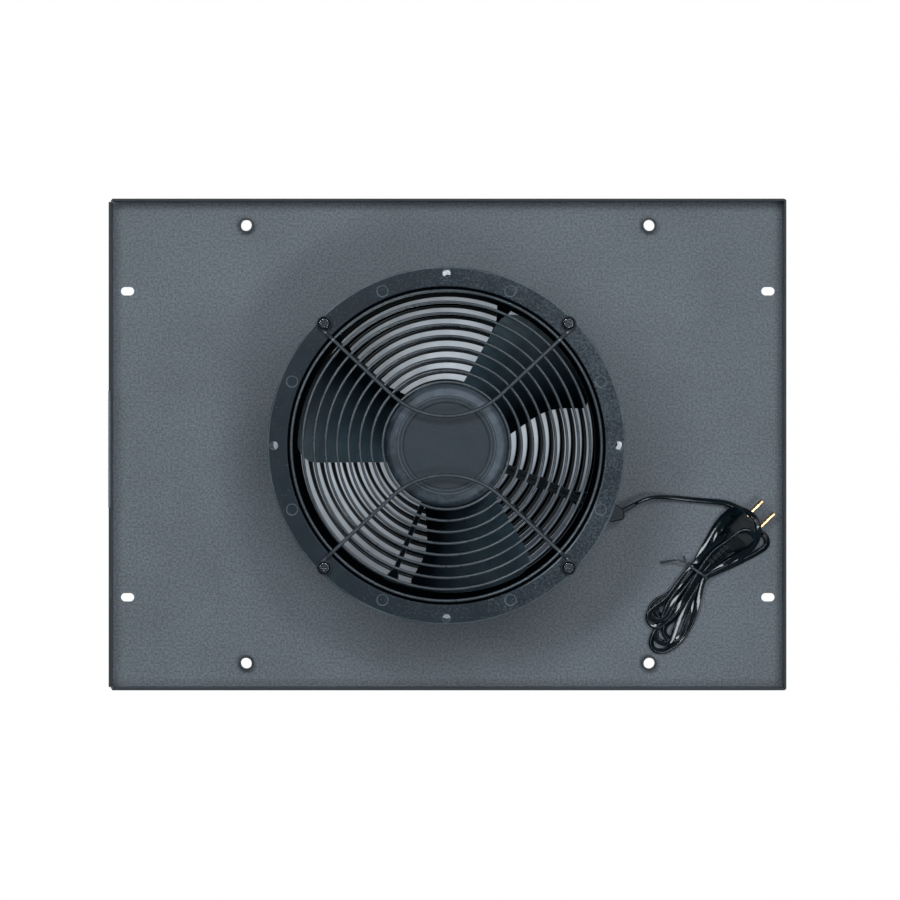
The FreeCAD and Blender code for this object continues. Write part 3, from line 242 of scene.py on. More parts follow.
# Light spots on the patch, in millimetres: centre x and y, radius, and the light they add
SPOTS = (
    (5.0, 60.0, 80.0, 0.34),
    (66.0, 4.0, 55.0, 0.34),
    (-80.0, -12.0, 60.0, 0.26),
    (-62.0, -45.0, 60.0, 0.12),
)
# A dark spot: centre x and y and radius in millimetres, and the share of the light it takes
SHADE = (62.0, -62.0, 75.0)
SHADE_SHARE = 0.75
LIGHT_TINT = (0.87, 0.97, 1.07)
SHADE_TINT = (0.80, 0.93, 1.25)
# The rear guard's shadow on the patch: its shift and each ring's width, in millimetres, and
# how many times as wide it is with its soft edge
RING_SHADOW_SHIFT = (-1.4, 1.9)
RING_SHADOW_WIDTH = 1.7
RING_SHADOW_FADE = 1.9


def ring_shadow(n, x, y):
    """0 on the floor right beside the rear guard's rings, which keep the light off it."""
    dx, dy = RING_SHADOW_SHIFT
    radius = n.length(n.math("SUBTRACT", x, dx * MM), n.math("SUBTRACT", y, dy * MM))
    step = n.math("DIVIDE", n.math("SUBTRACT", radius, RING_RADII[0] * MM), RING_PITCH * MM)
    away = n.math("ABSOLUTE", n.math("SUBTRACT", step, n.math("ROUND", step)))
    share = RING_SHADOW_WIDTH / RING_PITCH / 2
    return n.fade(away, share, share * RING_SHADOW_FADE)


def add_floor():
    """A white floor; under the fan, where only some light gets through, a patchy grey of painted
    light and shadow.
    """
    n = new_material("floor")
    x, y, _ = n.place_xyz()
    outside = n.fade(n.length(x, y), *PATCH_EDGE)
    light = PATCH_LIGHT
    for a, b, reach, strength in SPOTS:
        light = n.math("MULTIPLY_ADD", n.spot(x, y, a, b, reach), strength, light)
    shade = n.spot(x, y, *SHADE)
    light = n.math("MULTIPLY", light, n.math("MULTIPLY_ADD", shade, -SHADE_SHARE, 1.0))
    light = n.math("MULTIPLY", light, n.ramp(n.noise(30.0, detail=3.0, rough=0.6), PATCH_CLOUDS))
    light = n.math("MULTIPLY", light, ring_shadow(n, x, y))
    tint = n.mix(shade, LIGHT_TINT, SHADE_TINT)
    color = n.mix(outside, n.mix(light, (0.0, 0.0, 0.0), tint), (1.0, 1.0, 1.0))
    # Seen from above only, so that the rear can be looked at and lit from below
    camera = n.add("ShaderNodeLightPath").outputs["Is Camera Ray"]
    above = n.math("SUBTRACT", 1.0, n.add("ShaderNodeNewGeometry").outputs["Backfacing"])
    glow = n.add("ShaderNodeEmission", {"Color": color, "Strength": 1.0}).outputs[0]
    clear = n.add("ShaderNodeBsdfTransparent").outputs[0]
    seen = n.math("MULTIPLY", camera, above)
    shader = n.add("ShaderNodeMixShader", {0: seen, 1: clear, 2: glow}).outputs[0]
    level = CAD_BOX[0][2] - FLOOR_GAP
    bpy.ops.mesh.primitive_plane_add(size=FLOOR_SIZE, location=(0, 0, level))
    floor = bpy.context.object
    floor.name = "floor"
    floor.data.materials.append(n.surface(shader))


# ---- Materials ----
# Places on the part where a material changes, as heights and radii in metres
FOLD_TIPS = (0.0158, 0.0165)  # the raised middle of the left fold stands above them
FRONT_FLANGE_ABOVE = 0.086
FLANGE_EDGE_BEYOND = 0.1242
BELL_ABOVE = 0.0868
BELL_FLARE = 0.0028
BELL_LIP = 0.1120
BELL_LIP_HALF_WIDTH = 0.0004
THROAT_WITHIN = 0.1084
BARREL_BEYOND = 0.1060
BLADE_SHADE_BETWEEN = (0.046, 0.080)
BLADE_SHADE_PATCHES = 0.016  # how far the patches move the shade up and down
HUB_FACE_ABOVE = 0.0835
HUB_RING_BEYOND = 0.0352
HUB_LINES_BETWEEN = (0.029, 0.036)
HUB_SLOPE_BETWEEN = (0.0345, 0.0405)
HUB_SLOPE_DROP = 0.0006

FOLD_TIP_COLOR = (0.014, 0.017, 0.021)
FLANGE_DUST_AND_LIGHT = (0.075, 0.088, 0.102)
FLANGE_LIGHT_LEAN = (0.38, 0.06)  # to the right and up
FLANGE_DUST_SPECKS = 3.4
FLANGE_DUST_AND_LIGHT_CLOUDS = 1.3
FLANGE_EDGE_HIGHLIGHT = (0.19, 0.22, 0.24)
BELL_LIP_GLINT = (0.30, 0.34, 0.37)
BELL_LIP_GLINT_SIDE = (0.848, -0.530)  # the side where the lip has a painted glint
BELL_LIP_GLINT_FADE = (0.83, 1.03)  # from none to full, by how far a place lies to that side
HUB_DUST_AND_LIGHT = (0.105, 0.128, 0.155)
HUB_LIGHT_LEAN = (7.0, 10.0)  # more painted light for each metre to the right and up
HUB_FACE = [(0.35, (0.026, 0.036, 0.047)), (0.65, (0.034, 0.045, 0.057))]
DEEP_COLOR = (0.001, 0.002, 0.003, 1.0)
DEEP_RIMS_LIGHTER = 0.6  # how much less shade there is on rims
BLADE_SHADE = (0.96, 0.12)  # at the far and the near ends of BLADE_SHADE_BETWEEN
STRUT_SHADE = 0.85
BARREL_SHADE = 0.13  # on top of the struts' shade
# The rims' lighter colour is partly wear and partly a painted highlight
RIM_SHARE = 0.9  # how much of a moulded rim's colour shows

# The groove and crests round the hub's disc, placed by their share of HUB_LINES_BETWEEN: their
# colours, a painted shade in the groove and painted highlights on the crests, then how much of the
# colour shows
HUB_LINES = [
    (0.12, (0.004, 0.006, 0.008)),
    (0.26, (0.006, 0.009, 0.011)),
    (0.36, (0.19, 0.22, 0.25)),
    (0.72, (0.24, 0.28, 0.31)),
]
HUB_LINE_SHARES = [
    (0.10, 0.0),
    (0.16, 0.75),
    (0.24, 0.5),
    (0.30, 0.0),
    (0.37, 0.55),
    (0.46, 0.0),
    (0.64, 0.0),
    (0.71, 0.65),
    (0.80, 0.0),
]


def powder_coat():
    """Dark bluish grey textured powder coat, darker along the folds' tips."""
    n = new_material("powder_coat")
    fine = n.noise(2300.0, detail=3.0, rough=0.65)
    grain = n.noise(640.0, detail=4.0, rough=0.62)
    cloud = n.noise(14.0, detail=4.0, rough=0.6)
    speckle = n.ramp(grain, [(0.40, (0.088, 0.098, 0.111)), (0.60, (0.166, 0.182, 0.203))])
    tone = n.mix(1.0, speckle, n.ramp(cloud, [(0.3, 0.90), (0.7, 1.08)]), blend="MULTIPLY")
    z = n.place_xyz()["Z"]
    bottom, top = FOLD_TIPS
    tip = n.math("MULTIPLY", n.math("GREATER_THAN", z, bottom), n.math("LESS_THAN", z, top))
    color = n.mix(tip, tone, FOLD_TIP_COLOR)
    height = n.math("ADD", n.math("MULTIPLY", fine, 0.4), n.math("MULTIPLY", grain, 0.6))
    normal = n.bump(height, strength=0.5, distance=0.0006)
    roughness = n.ramp(grain, [(0.3, 0.48), (0.7, 0.62)])
    return n.surface(n.principled(Base_Color=color, Roughness=roughness, Normal=normal))


def moulded(
    name, dark, light, rough, grain_depth=0.16, rim=(0.075, 0.095, 0.11), rim_width=0.0005,
    shine=0.5, dust=None, hub=False, deep=None,
):
    """Moulded plastic: fine grain, flow marks, faint scratches, and rims made lighter, partly as
    wear and partly as a painted highlight.

    dust(n, color) returns the colour with dust and painted light on it. hub draws the hub's face.
    deep(n) returns the share, 0 to 1, of the matt black that stands for the shade inside the fan.
    """
    n = new_material(name)
    flow = n.noise(38.0, detail=5.0, rough=0.65, stretch=(1.0, 1.0, 0.3))
    grain = n.noise(900.0, detail=3.0, rough=0.6)
    scratches = n.noise(130.0, detail=6.0, rough=0.75, stretch=(0.25, 3.0, 1.0))
    color = n.ramp(flow, [(0.28, dark), (0.72, light)])
    if dust:
        color = dust(n, color)
    color = n.mix(n.ramp(scratches, [(0.66, 0.0), (0.74, 0.35)]), color, rim)
    soft, edge = n.rims(rim_width)
    # Rims painted lighter: partly wear, partly a painted highlight
    color = n.mix(n.math("MULTIPLY", edge, RIM_SHARE), color, rim)
    if hub:
        color = hub_face(n, color, grain)
        soft = hub_slope(n, soft)
    normal = n.bump(grain, strength=grain_depth, distance=0.0003, normal=soft)
    wear = n.noise(55.0, detail=4.0, rough=0.65)
    roughness = n.ramp(wear, [(0.3, rough - 0.07), (0.7, rough + 0.08)])
    shader = n.principled(
        Base_Color=color, Roughness=roughness, Normal=normal, Specular_IOR_Level=shine
    )
    if deep:
        black = n.add("ShaderNodeBsdfDiffuse", {"Color": DEEP_COLOR}).outputs[0]
        share = n.math("MULTIPLY", deep(n), n.math("MULTIPLY_ADD", edge, -DEEP_RIMS_LIGHTER, 1.0))
        shader = n.add("ShaderNodeMixShader", {0: share, 1: shader, 2: black}).outputs[0]
    return n.surface(shader)


def hub_face(n, color, grain):
    """The hub's face: an even tone, the lines round its disc in painted shade and highlight, and
    dust with painted light, lighter up and to the right, on its outer ring.
    """
    x, y, z = n.place_xyz()
    radius = n.length(x, y)
    face = n.math("GREATER_THAN", z, HUB_FACE_ABOVE)
    lines = n.fade(radius, *HUB_LINES_BETWEEN)
    color = n.mix(face, color, n.ramp(grain, HUB_FACE))
    # Painted shade in the groove and painted highlights on the crests
    shown = n.math("MULTIPLY", face, n.ramp(lines, HUB_LINE_SHARES))
    color = n.mix(shown, color, n.ramp(lines, HUB_LINES))
    right, up = HUB_LIGHT_LEAN
    # Painted light: the outer ring turns lighter to the right and up; the patches stand for dust
    lean = n.math("ADD", n.math("MULTIPLY", x, right), n.math("MULTIPLY", y, up))
    patches = n.ramp(n.noise(90.0, detail=5.0, rough=0.7), [(0.35, 0.10), (0.65, 1.0)])
    dust_and_light = n.math("ADD", lean, patches, clamp=True)
    ring = n.math("MULTIPLY", face, n.math("GREATER_THAN", radius, HUB_RING_BEYOND))
    return n.mix(n.math("MULTIPLY", ring, dust_and_light), color, HUB_DUST_AND_LIGHT)


def hub_slope(n, normal):
    """The hub's face falls a little from the disc to the rim."""
    x, y, _ = n.place_xyz()
    height = n.fade(n.length(x, y), *HUB_SLOPE_BETWEEN, HUB_SLOPE_DROP, 0.0)
    return n.bump(height, strength=0.8, distance=1.0, normal=normal)


def deep_in_blades(n):
    """Painted shade: blades go black towards their far edges, patchily."""
    z = n.place_xyz()["Z"]
    patches = n.math("MULTIPLY", n.noise(26.0, detail=4.0, rough=0.6), BLADE_SHADE_PATCHES)
    return n.fade(n.math("ADD", z, patches), *BLADE_SHADE_BETWEEN, *BLADE_SHADE)


def deep_in_throat(n):
    """Painted shade: the barrel's inside goes black and the struts dark; the flanges don't."""
    x, y, z = n.place_xyz()
    radius = n.length(x, y)
    flare = n.math("MULTIPLY", n.math("GREATER_THAN", z, BELL_ABOVE), BELL_FLARE)
    inside = n.math("LESS_THAN", n.math("SUBTRACT", radius, flare), THROAT_WITHIN)
    wall = n.math("GREATER_THAN", radius, BARREL_BEYOND)
    return n.math("MULTIPLY", inside, n.math("MULTIPLY_ADD", wall, BARREL_SHADE, STRUT_SHADE))


def toward(n, x, y, radius, direction):
    """How far a place lies to the side of the fan that the direction (x, y) points to."""
    dx, dy = direction
    across = n.math("MULTIPLY", n.math("DIVIDE", y, radius), dy)
    return n.math("MULTIPLY_ADD", n.math("DIVIDE", x, radius), dx, across)


def flange_dust_and_light(n, color):
    """Pale dust and painted light, lighter to the right, on the flange; a painted highlight on its
    outer edge and a painted glint on the bell's lip.
    """
    x, y, z = n.place_xyz()
    radius = n.length(x, y)
    front = n.math("GREATER_THAN", z, FRONT_FLANGE_ABOVE)
    # Painted light: the flange grows lighter to the right; the specks stand for dust
    lean = toward(n, x, y, radius, FLANGE_LIGHT_LEAN)
    specks = n.math("SUBTRACT", n.noise(620.0, detail=3.0, rough=0.65), 0.5)
    specks = n.math("MULTIPLY", specks, FLANGE_DUST_SPECKS)
    clouds = n.math("SUBTRACT", n.noise(60.0, detail=4.0, rough=0.6), 0.5)
    clouds = n.math("MULTIPLY", clouds, FLANGE_DUST_AND_LIGHT_CLOUDS)
    share = n.math("ADD", lean, n.math("ADD", specks, clouds), clamp=True)
    color = n.mix(n.math("MULTIPLY", share, front), color, FLANGE_DUST_AND_LIGHT)
    # A patchy painted highlight along the flange's outer edge, and below a patchy painted glint on
    # the bell's lip
    highlight_patches = n.ramp(n.noise(24.0, detail=3.0, rough=0.6), [(0.35, 0.15), (0.65, 0.95)])
    edge = n.math("MULTIPLY", highlight_patches, n.math("GREATER_THAN", radius, FLANGE_EDGE_BEYOND))
    color = n.mix(edge, color, FLANGE_EDGE_HIGHLIGHT)
    # A painted glint along the bell's lip, on one side only
    lip = n.math("COMPARE", radius, BELL_LIP, BELL_LIP_HALF_WIDTH)
    side = n.fade(toward(n, x, y, radius, BELL_LIP_GLINT_SIDE), *BELL_LIP_GLINT_FADE)
    lip = n.math("MULTIPLY", n.math("MULTIPLY", lip, side), front)
    return n.mix(n.math("MULTIPLY", lip, highlight_patches), color, BELL_LIP_GLINT)


def coated_wire(name, dark, light, rough):
    """Dip-coated wire: smooth, glossy, with slight runs and dust."""
    n = new_material(name)
    color = n.ramp(n.noise(110.0, detail=4.0, rough=0.65), [(0.32, dark), (0.7, light)])
    normal = n.bump(n.noise(380.0, detail=3.0, rough=0.55), strength=0.16, distance=0.0003)
    wear = n.noise(170.0, detail=3.0, rough=0.6)
    roughness = n.ramp(wear, [(0.3, rough - 0.06), (0.72, rough + 0.1)])
    shader = n.principled(
        Base_Color=color, Roughness=roughness, Normal=normal, Coat_Weight=0.4, Coat_Roughness=0.10
    )
    return n.surface(shader)


def metal(name, dark, light, rough, scratch=(1.0, 1.0, 1.0), rim=None, grain=260.0):
    """Bare or plated metal with fine scratches, and rims in the given colour, if one is given."""
    n = new_material(name)
    color = n.ramp(n.noise(grain, detail=4.0, rough=0.6), [(0.3, dark), (0.72, light)])
    marks = n.noise(1500.0, detail=2.0, rough=0.6, stretch=scratch)
    roughness = n.ramp(marks, [(0.3, rough - 0.06), (0.7, rough + 0.08)])
    soft, edge = n.rims(0.0002)
    if rim:
        color = n.mix(edge, color, rim)
    normal = n.bump(marks, strength=0.1, distance=0.0001, normal=soft)
    return n.surface(
        n.principled(Base_Color=color, Metallic=1.0, Roughness=roughness, Normal=normal)
    )


def vinyl(name, dark, light, rough, gloss):
    """Vinyl insulation with faint draw marks and a glossy skin."""
    n = new_material(name)
    color = n.ramp(n.noise(90.0, detail=3.0, rough=0.6), [(0.35, dark), (0.7, light)])
    roughness = n.ramp(n.noise(220.0, detail=3.0, rough=0.6), [(0.3, rough), (0.75, rough + 0.08)])
    normal = n.bump(n.noise(150.0, detail=2.0, rough=0.5), strength=0.16, distance=0.0005)
    shader = n.principled(
        Base_Color=color, Roughness=roughness, Normal=normal, Specular_IOR_Level=0.10,
        Coat_Weight=gloss, Coat_Roughness=0.06, Coat_IOR=1.5, Coat_Normal=normal,
    )
    return n.surface(shader)


# ---- Mesh tools ----
# A swept section is carried along its line. Where the line runs level enough, its sides also
# turn towards level, by a share of the way at each step
LEVEL_ENOUGH = 0.2
LEVEL_STEP = 0.35


def make_object(name, bm, material):
    """A smooth-shaded object on the frame body."""
    mesh = bpy.data.meshes.new(name)
    bmesh.ops.recalc_face_normals(bm, faces=bm.faces)
    bm.to_mesh(mesh)
    bm.free()
    for polygon in mesh.polygons:
        polygon.use_smooth = True
    obj = bpy.data.objects.new(name, mesh)
    bpy.context.scene.collection.objects.link(obj)
    mesh.materials.append(material)
    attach(obj, "frame")
    return obj


def frames_along(points):
    """Tangent and side vectors along a line, the sides as level as the line lets them be."""
    out = []
    side = None
    for i, point in enumerate(points):
        tangent = (points[min(i + 1, len(points) - 1)] - points[max(i - 1, 0)]).normalized()
        level = tangent.cross(UP)
        if side is None:
            side = level.normalized()
        else:
            carried = (side - tangent * side.dot(tangent)).normalized()
            if level.length > LEVEL_ENOUGH:
                level = level.normalized()
                if level.dot(carried) < 0:
                    level = -level
                carried = carried.lerp(level, LEVEL_STEP)
            side = (carried - tangent * carried.dot(tangent)).normalized()
        out.append((tangent, side))
    return out


def join_rings(bm, r0, r1):
    """Faces between two rings of points."""
    count = len(r0)
    for k in range(count):
        bm.faces.new((r0[k], r0[(k + 1) % count], r1[(k + 1) % count], r1[k]))


def close_tube(bm, rings):
    """Joins rings of points into a tube with both ends closed."""
    for r0, r1 in zip(rings, rings[1:]):
        join_rings(bm, r0, r1)
    bm.faces.new(list(reversed(rings[0])))
    bm.faces.new(rings[-1])


def sweep(bm, points, section, turn=None):
    """Sweeps a closed section of (across, out) pairs along points.

    turn(t) returns the angle that the section is turned by, at a share t of the way.
    """
    rings = []
    for i, (point, (tangent, side)) in enumerate(zip(points, frames_along(points))):
        out = side.cross(tangent).normalized()
        angle = turn(i / (len(points) - 1)) if turn else 0.0
        c, s = math.cos(angle), math.sin(angle)
        ring = []
        for a, b in section:
            ring.append(bm.verts.new(point + side * (a * c - b * s) + out * (a * s + b * c)))
        rings.append(ring)
    close_tube(bm, rings)


def nurbs_points(control, resolution):
    """The smooth line of a NURBS spline with these control points."""
    curve = bpy.data.curves.new("line", "CURVE")
    curve.dimensions = "3D"
    curve.resolution_u = resolution
    spline = curve.splines.new("NURBS")
    spline.points.add(len(control) - 1)
    for point, co in zip(spline.points, control):
        point.co = (*co, 1.0)
    spline.order_u = 3
    spline.use_endpoint_u = True
    obj = bpy.data.objects.new("line", curve)
    mesh = bpy.data.meshes.new_from_object(obj)
    points = [v.co.copy() for v in mesh.vertices]
    bpy.data.objects.remove(obj)
    bpy.data.curves.remove(curve)
    bpy.data.meshes.remove(mesh)
    return points


# ---- Cord, in millimetres ----
CORD_WIDTH = 4.3
CORD_THICKNESS = 2.5
CORE_POINTS = 9
CORE_HALF_ANGLE = 76  # each way from a core's outermost point to where the groove starts
GROOVE_SHARE = 0.66  # what the groove leaves of the half thickness

# The twist along the cord, in radians, at shares of its length: on edge at the exit, then a
# tilt, then a wander that sets in and is the sum of waves of (size, count, phase)
EXIT_TWIST = math.radians(88)
EXIT_TWIST_ENDS = 0.035
TILT = 0.5
TILT_AT = 0.040
TILT_REACH = 0.012
WANDER_STARTS = 0.05
WANDER_SETS_IN = 0.03
WANDER_WAVES = ((0.40, 4.3, 0.7), (0.30, 9.1, 2.1))

# The end of the connector's relief, where the lead's route starts
LEAD_ROUTE = (
    (134.6, -43.6, 10.45),
    (144.2, -38.3, 10.45),
    (156.0, -38.0, 6.2),
    (168.0, -39.2, 4.2),
    (181.0, -40.6, 4.0),
    (193.0, -41.5, 4.3),
    (203.0, -42.6, 5.6),
)
# The hank's turns, from the lead to the plug
HANK_ROUTE = (
    (211.0, -46.6, 8.0), (216.4, -48.4, 12.6), (221.0, -52.0, 15.6), (224.0, -57.4, 16.4),
    (224.8, -63.6, 15.4), (223.4, -70.0, 12.6), (219.7, -75.7, 9.4), (214.3, -80.8, 6.2),
    (207.8, -85.5, 5.0), (200.8, -89.6, 5.1), (193.6, -93.0, 5.7), (186.0, -96.0, 6.3),
    (183.5, -103.5, 6.3), (182.1, -111.2, 5.5), (180.5, -118.9, 4.5), (177.9, -126.4, 3.7),
    (174.6, -133.7, 3.2), (170.5, -140.3, 3.1), (165.2, -145.7, 3.0), (158.5, -149.8, 3.0),
    (151.2, -150.3, 3.0), (147.1, -145.7, 3.1), (148.4, -138.8, 3.3), (153.1, -132.3, 3.9),
    (155.6, -125.8, 4.9), (158.5, -118.7, 5.6), (162.6, -111.6, 5.8), (167.1, -105.7, 5.7),
    (171.6, -99.1, 5.5), (176.2, -92.5, 5.0), (179.8, -85.7, 4.3), (183.6, -78.8, 3.6),
    (187.4, -72.0, 3.3), (191.1, -65.0, 3.4), (195.0, -58.1, 4.1), (199.8, -52.2, 5.7),
    (205.2, -47.5, 8.2), (210.3, -46.8, 11.2), (214.4, -50.8, 13.9), (212.8, -59.0, 15.3),
    (205.9, -63.5, 15.1), (199.4, -67.4, 13.4), (193.5, -71.7, 10.9), (188.2, -76.9, 8.5),
    (182.8, -82.6, 6.6), (177.3, -88.2, 5.4), (172.3, -93.9, 4.8), (167.6, -100.0, 4.6),
    (163.2, -106.3, 4.7), (157.8, -113.2, 4.9), (150.1, -118.0, 4.8), (145.2, -123.2, 4.6),
    (145.6, -128.2, 4.7), (149.0, -131.8, 4.8), (154.1, -132.5, 5.0), (159.9, -125.6, 5.6),
    (165.9, -119.0, 6.4), (170.9, -111.8, 7.3), (174.9, -104.8, 8.1), (178.9, -97.9, 8.7),
    (182.9, -91.0, 9.2), (186.9, -84.2, 9.9), (191.6, -78.3, 11.0), (197.4, -73.7, 12.7),
    (204.7, -68.8, 14.7), (211.1, -62.6, 16.1), (216.6, -62.0, 16.0), (220.7, -64.8, 15.0),
    (221.9, -69.4, 13.5), (217.4, -75.3, 11.5), (210.5, -80.3, 8.5), (204.4, -84.2, 6.3),
    (197.7, -88.3, 5.1), (191.3, -92.7, 4.8), (185.7, -98.0, 4.8), (181.3, -104.6, 4.5),
    (176.8, -111.9, 4.2), (172.2, -119.7, 4.2), (167.6, -127.4, 4.7), (164.6, -135.9, 4.9),
    (162.3, -142.8, 4.4), (157.7, -144.6, 3.8), (153.0, -143.0, 3.3), (150.4, -138.8, 3.2),
    (151.8, -132.8, 3.3), (159.2, -127.7, 3.5), (165.0, -120.8, 3.7), (169.9, -113.8, 4.1),
    (173.8, -107.2, 4.4), (177.0, -100.0, 4.5), (180.0, -92.6, 4.3), (183.6, -85.3, 3.9),
    (187.5, -78.4, 3.5), (191.4, -71.5, 3.4), (195.0, -64.6, 3.8), (199.5, -57.3, 5.3),
    (204.1, -49.7, 6.8), (208.0, -49.3, 9.9), (210.7, -51.9, 13.2), (210.9, -56.4, 15.4),
    (205.3, -63.3, 13.9), (199.8, -69.3, 12.0), (194.6, -74.4, 9.8), (189.5, -80.1, 8.1),
    (184.3, -86.4, 7.1), (179.4, -92.7, 6.8), (174.5, -98.9, 6.6), (169.5, -105.0, 6.4),
    (164.4, -112.4, 6.2), (161.2, -120.9, 6.3), (156.3, -127.4, 6.1), (151.4, -127.5, 5.3),
    (147.6, -124.5, 4.2), (146.6, -119.6, 3.3), (151.0, -113.7, 3.0), (159.2, -109.9, 3.1),
    (166.3, -104.4, 3.0), (172.4, -98.8, 3.0), (178.4, -93.7, 3.0), (185.2, -89.5, 3.0),
    (192.4, -85.9, 3.0), (199.7, -82.9, 3.0), (207.9, -79.1, 3.0), (215.0, -73.5, 3.0),
    (219.8, -65.9, 3.0), (224.7, -63.7, 3.0), (229.4, -65.2, 3.0), (232.1, -69.3, 3.0),
    (231.4, -74.3, 3.0), (224.6, -78.7, 3.0), (217.8, -82.3, 3.0), (210.2, -86.1, 3.1),
    (202.0, -89.9, 3.2), (193.7, -93.3, 3.3), (185.4, -96.9, 3.3), (181.4, -104.9, 3.3),
    (179.2, -113.6, 3.2), (176.4, -122.1, 3.2), (173.0, -130.4, 3.3), (170.2, -138.9, 3.6),
    (164.9, -142.2, 3.7), (160.0, -141.1, 3.7), (156.8, -137.2, 3.6), (157.1, -131.8, 3.5),
    (164.1, -126.2, 3.3), (169.7, -119.1, 3.5), (174.3, -111.6, 4.1), (178.2, -104.6, 4.8),
    (182.1, -97.8, 5.3), (186.3, -91.4, 5.4), (190.1, -84.6, 5.0), (193.4, -77.4, 4.7),
    (196.5, -68.9, 5.4), (198.6, -60.3, 6.5), (202.4, -55.3, 8.8), (206.6, -55.1, 11.5),
    (209.9, -58.1, 13.8), (210.8, -63.4, 14.7), (205.7, -70.6, 12.7), (201.4, -78.2, 10.5),
    (196.1, -84.9, 7.7), (189.8, -89.6, 5.5), (183.0, -94.0, 4.1), (176.8, -99.0, 3.4),
    (170.2, -104.9, 3.1), (162.8, -110.0, 3.0), (154.3, -113.0, 3.0), (151.1, -118.6, 3.0),
    (152.4, -123.4, 3.0), (156.4, -126.3, 3.1), (161.4, -126.1, 3.1), (166.0, -118.8, 3.2),
    (169.9, -110.7, 3.5), (175.3, -103.5, 4.1), (180.0, -97.3, 5.1), (184.7, -91.2, 6.1),
    (189.6, -86.0, 7.2), (193.9, -81.7, 8.3),
)


def twin_section():
    """Two round cores side by side with a groove between them."""
    half, radius = (CORD_WIDTH - CORD_THICKNESS) / 2, CORD_THICKNESS / 2
    points = []
    for side in (1, -1):
        for k in range(CORE_POINTS):
            a = math.radians(-CORE_HALF_ANGLE + 2 * CORE_HALF_ANGLE * k / (CORE_POINTS - 1))
            points.append((side * (half + radius * math.cos(a)), side * radius * math.sin(a)))
        points.append((0.0, side * radius * GROOVE_SHARE))
    return [(a * MM, b * MM) for a, b in points]


def cord_twist(t):
    """The angle that the flat cord is turned by, at a share t of its length."""
    exit_twist = EXIT_TWIST * max(0.0, 1 - t / EXIT_TWIST_ENDS)
    tilt = TILT * math.exp(-(((t - TILT_AT) / TILT_REACH) ** 2))
    wander = sum(
        size * math.sin(2 * math.pi * count * t + phase) for size, count, phase in WANDER_WAVES
    )
    return exit_twist + tilt + wander * min(1.0, max(0.0, (t - WANDER_STARTS) / WANDER_SETS_IN))


def add_cord(material):
    """The lead and the hank, as one flat twin cord."""
    control = [Vector(p) * MM for p in LEAD_ROUTE + HANK_ROUTE]
    points = nurbs_points(control, resolution=5)
    bm = bmesh.new()
    sweep(bm, points, twin_section(), cord_twist)
    cord = make_object("cord", bm, material)
    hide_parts("cord_lead", "cord_hank")


# ---- Wire tie, in millimetres ----
WAIST = Vector((180.6, -91.7, 8.7))
WAIST_HEADING = math.radians(50.0)
# The loop round the waist: its half width, half height and sideways drift
LOOP_ACROSS = 8.7
LOOP_UP = 6.2
LOOP_DRIFT = 0.5
LOOP_STEPS = 72
LOOP_START = 170  # in degrees, like its span
LOOP_SPAN = 345
KNOT_LIFT = 0.4  # how far the loop's ends arch up on their way to the knot
RIBBON_WIDTH = 1.7
RIBBON_THICKNESS = 0.5
RIBBON_CORE = 1.0
CORE_FLAT = 0.6  # half the width of the core's top, against its radius
# The two ends, from the knot outwards: their routes, their turns, and how much is twisted
TIE_TAIL = (
    (172.6, -85.4, 9.6),
    (169.0, -83.9, 9.8),
    (164.5, -83.8, 8.2),
    (159.5, -84.5, 6.0),
    (154.6, -86.0, 3.6),
)
TIE_STUB = ((172.6, -85.4, 9.6), (171.2, -83.0, 10.8), (170.9, -80.6, 11.0))
TIE_ENDS = ((TIE_TAIL, 3.0), (TIE_STUB, 2.5))
TWISTED_SHARE = 0.45


def ribbon_section():
    """A flat ribbon with a wire in its middle."""
    w, t, c = RIBBON_WIDTH / 2, RIBBON_THICKNESS / 2, RIBBON_CORE / 2
    half = [(w, -t), (w, t), (c, t), (c * CORE_FLAT, c), (-c * CORE_FLAT, c), (-c, t)]
    points = half + [(-a, -b) for a, b in half]
    return [(a * MM, b * MM) for a, b in points]


def add_tie(material):
    """A wire tie round the waist, its ends twisted together."""
    across = Vector((math.sin(WAIST_HEADING), -math.cos(WAIST_HEADING), 0))
    along = Vector((math.cos(WAIST_HEADING), math.sin(WAIST_HEADING), 0))
    section = ribbon_section()
    bm = bmesh.new()
    loop = []
    for k in range(LOOP_STEPS + 1):
        a = math.radians(LOOP_START - LOOP_SPAN * k / LOOP_STEPS)
        point = WAIST + across * LOOP_ACROSS * math.cos(a) + Vector((0, 0, LOOP_UP * math.sin(a)))
        loop.append((point + along * (LOOP_DRIFT * math.sin(a * 2.0))) * MM)
    rings = []
    for i, point in enumerate(loop):
        tangent = (loop[min(i + 1, LOOP_STEPS)] - loop[max(i - 1, 0)]).normalized()
        out = along.cross(tangent).normalized()
        rings.append([bm.verts.new(point + along * a + out * b) for a, b in section])
    close_tube(bm, rings)
    knot = Vector(TIE_TAIL[0]) * MM
    for start in (loop[-1], loop[0]):
        bridge = [start, (start + knot) / 2 + UP * (KNOT_LIFT * MM), knot]
        sweep(bm, nurbs_points(bridge, resolution=8), section)
    for route, turns in TIE_ENDS:
        points = nurbs_points([Vector(p) * MM for p in route], resolution=10)
        sweep(bm, points, section, lambda t: 2 * math.pi * turns * min(t, TWISTED_SHARE))
    tie = make_object("wire_tie", bm, material)
    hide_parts("hank_tie")
    return tie


# ---- Guards ----
RING_SEGMENTS = 160
WIRE_SIDES = 12


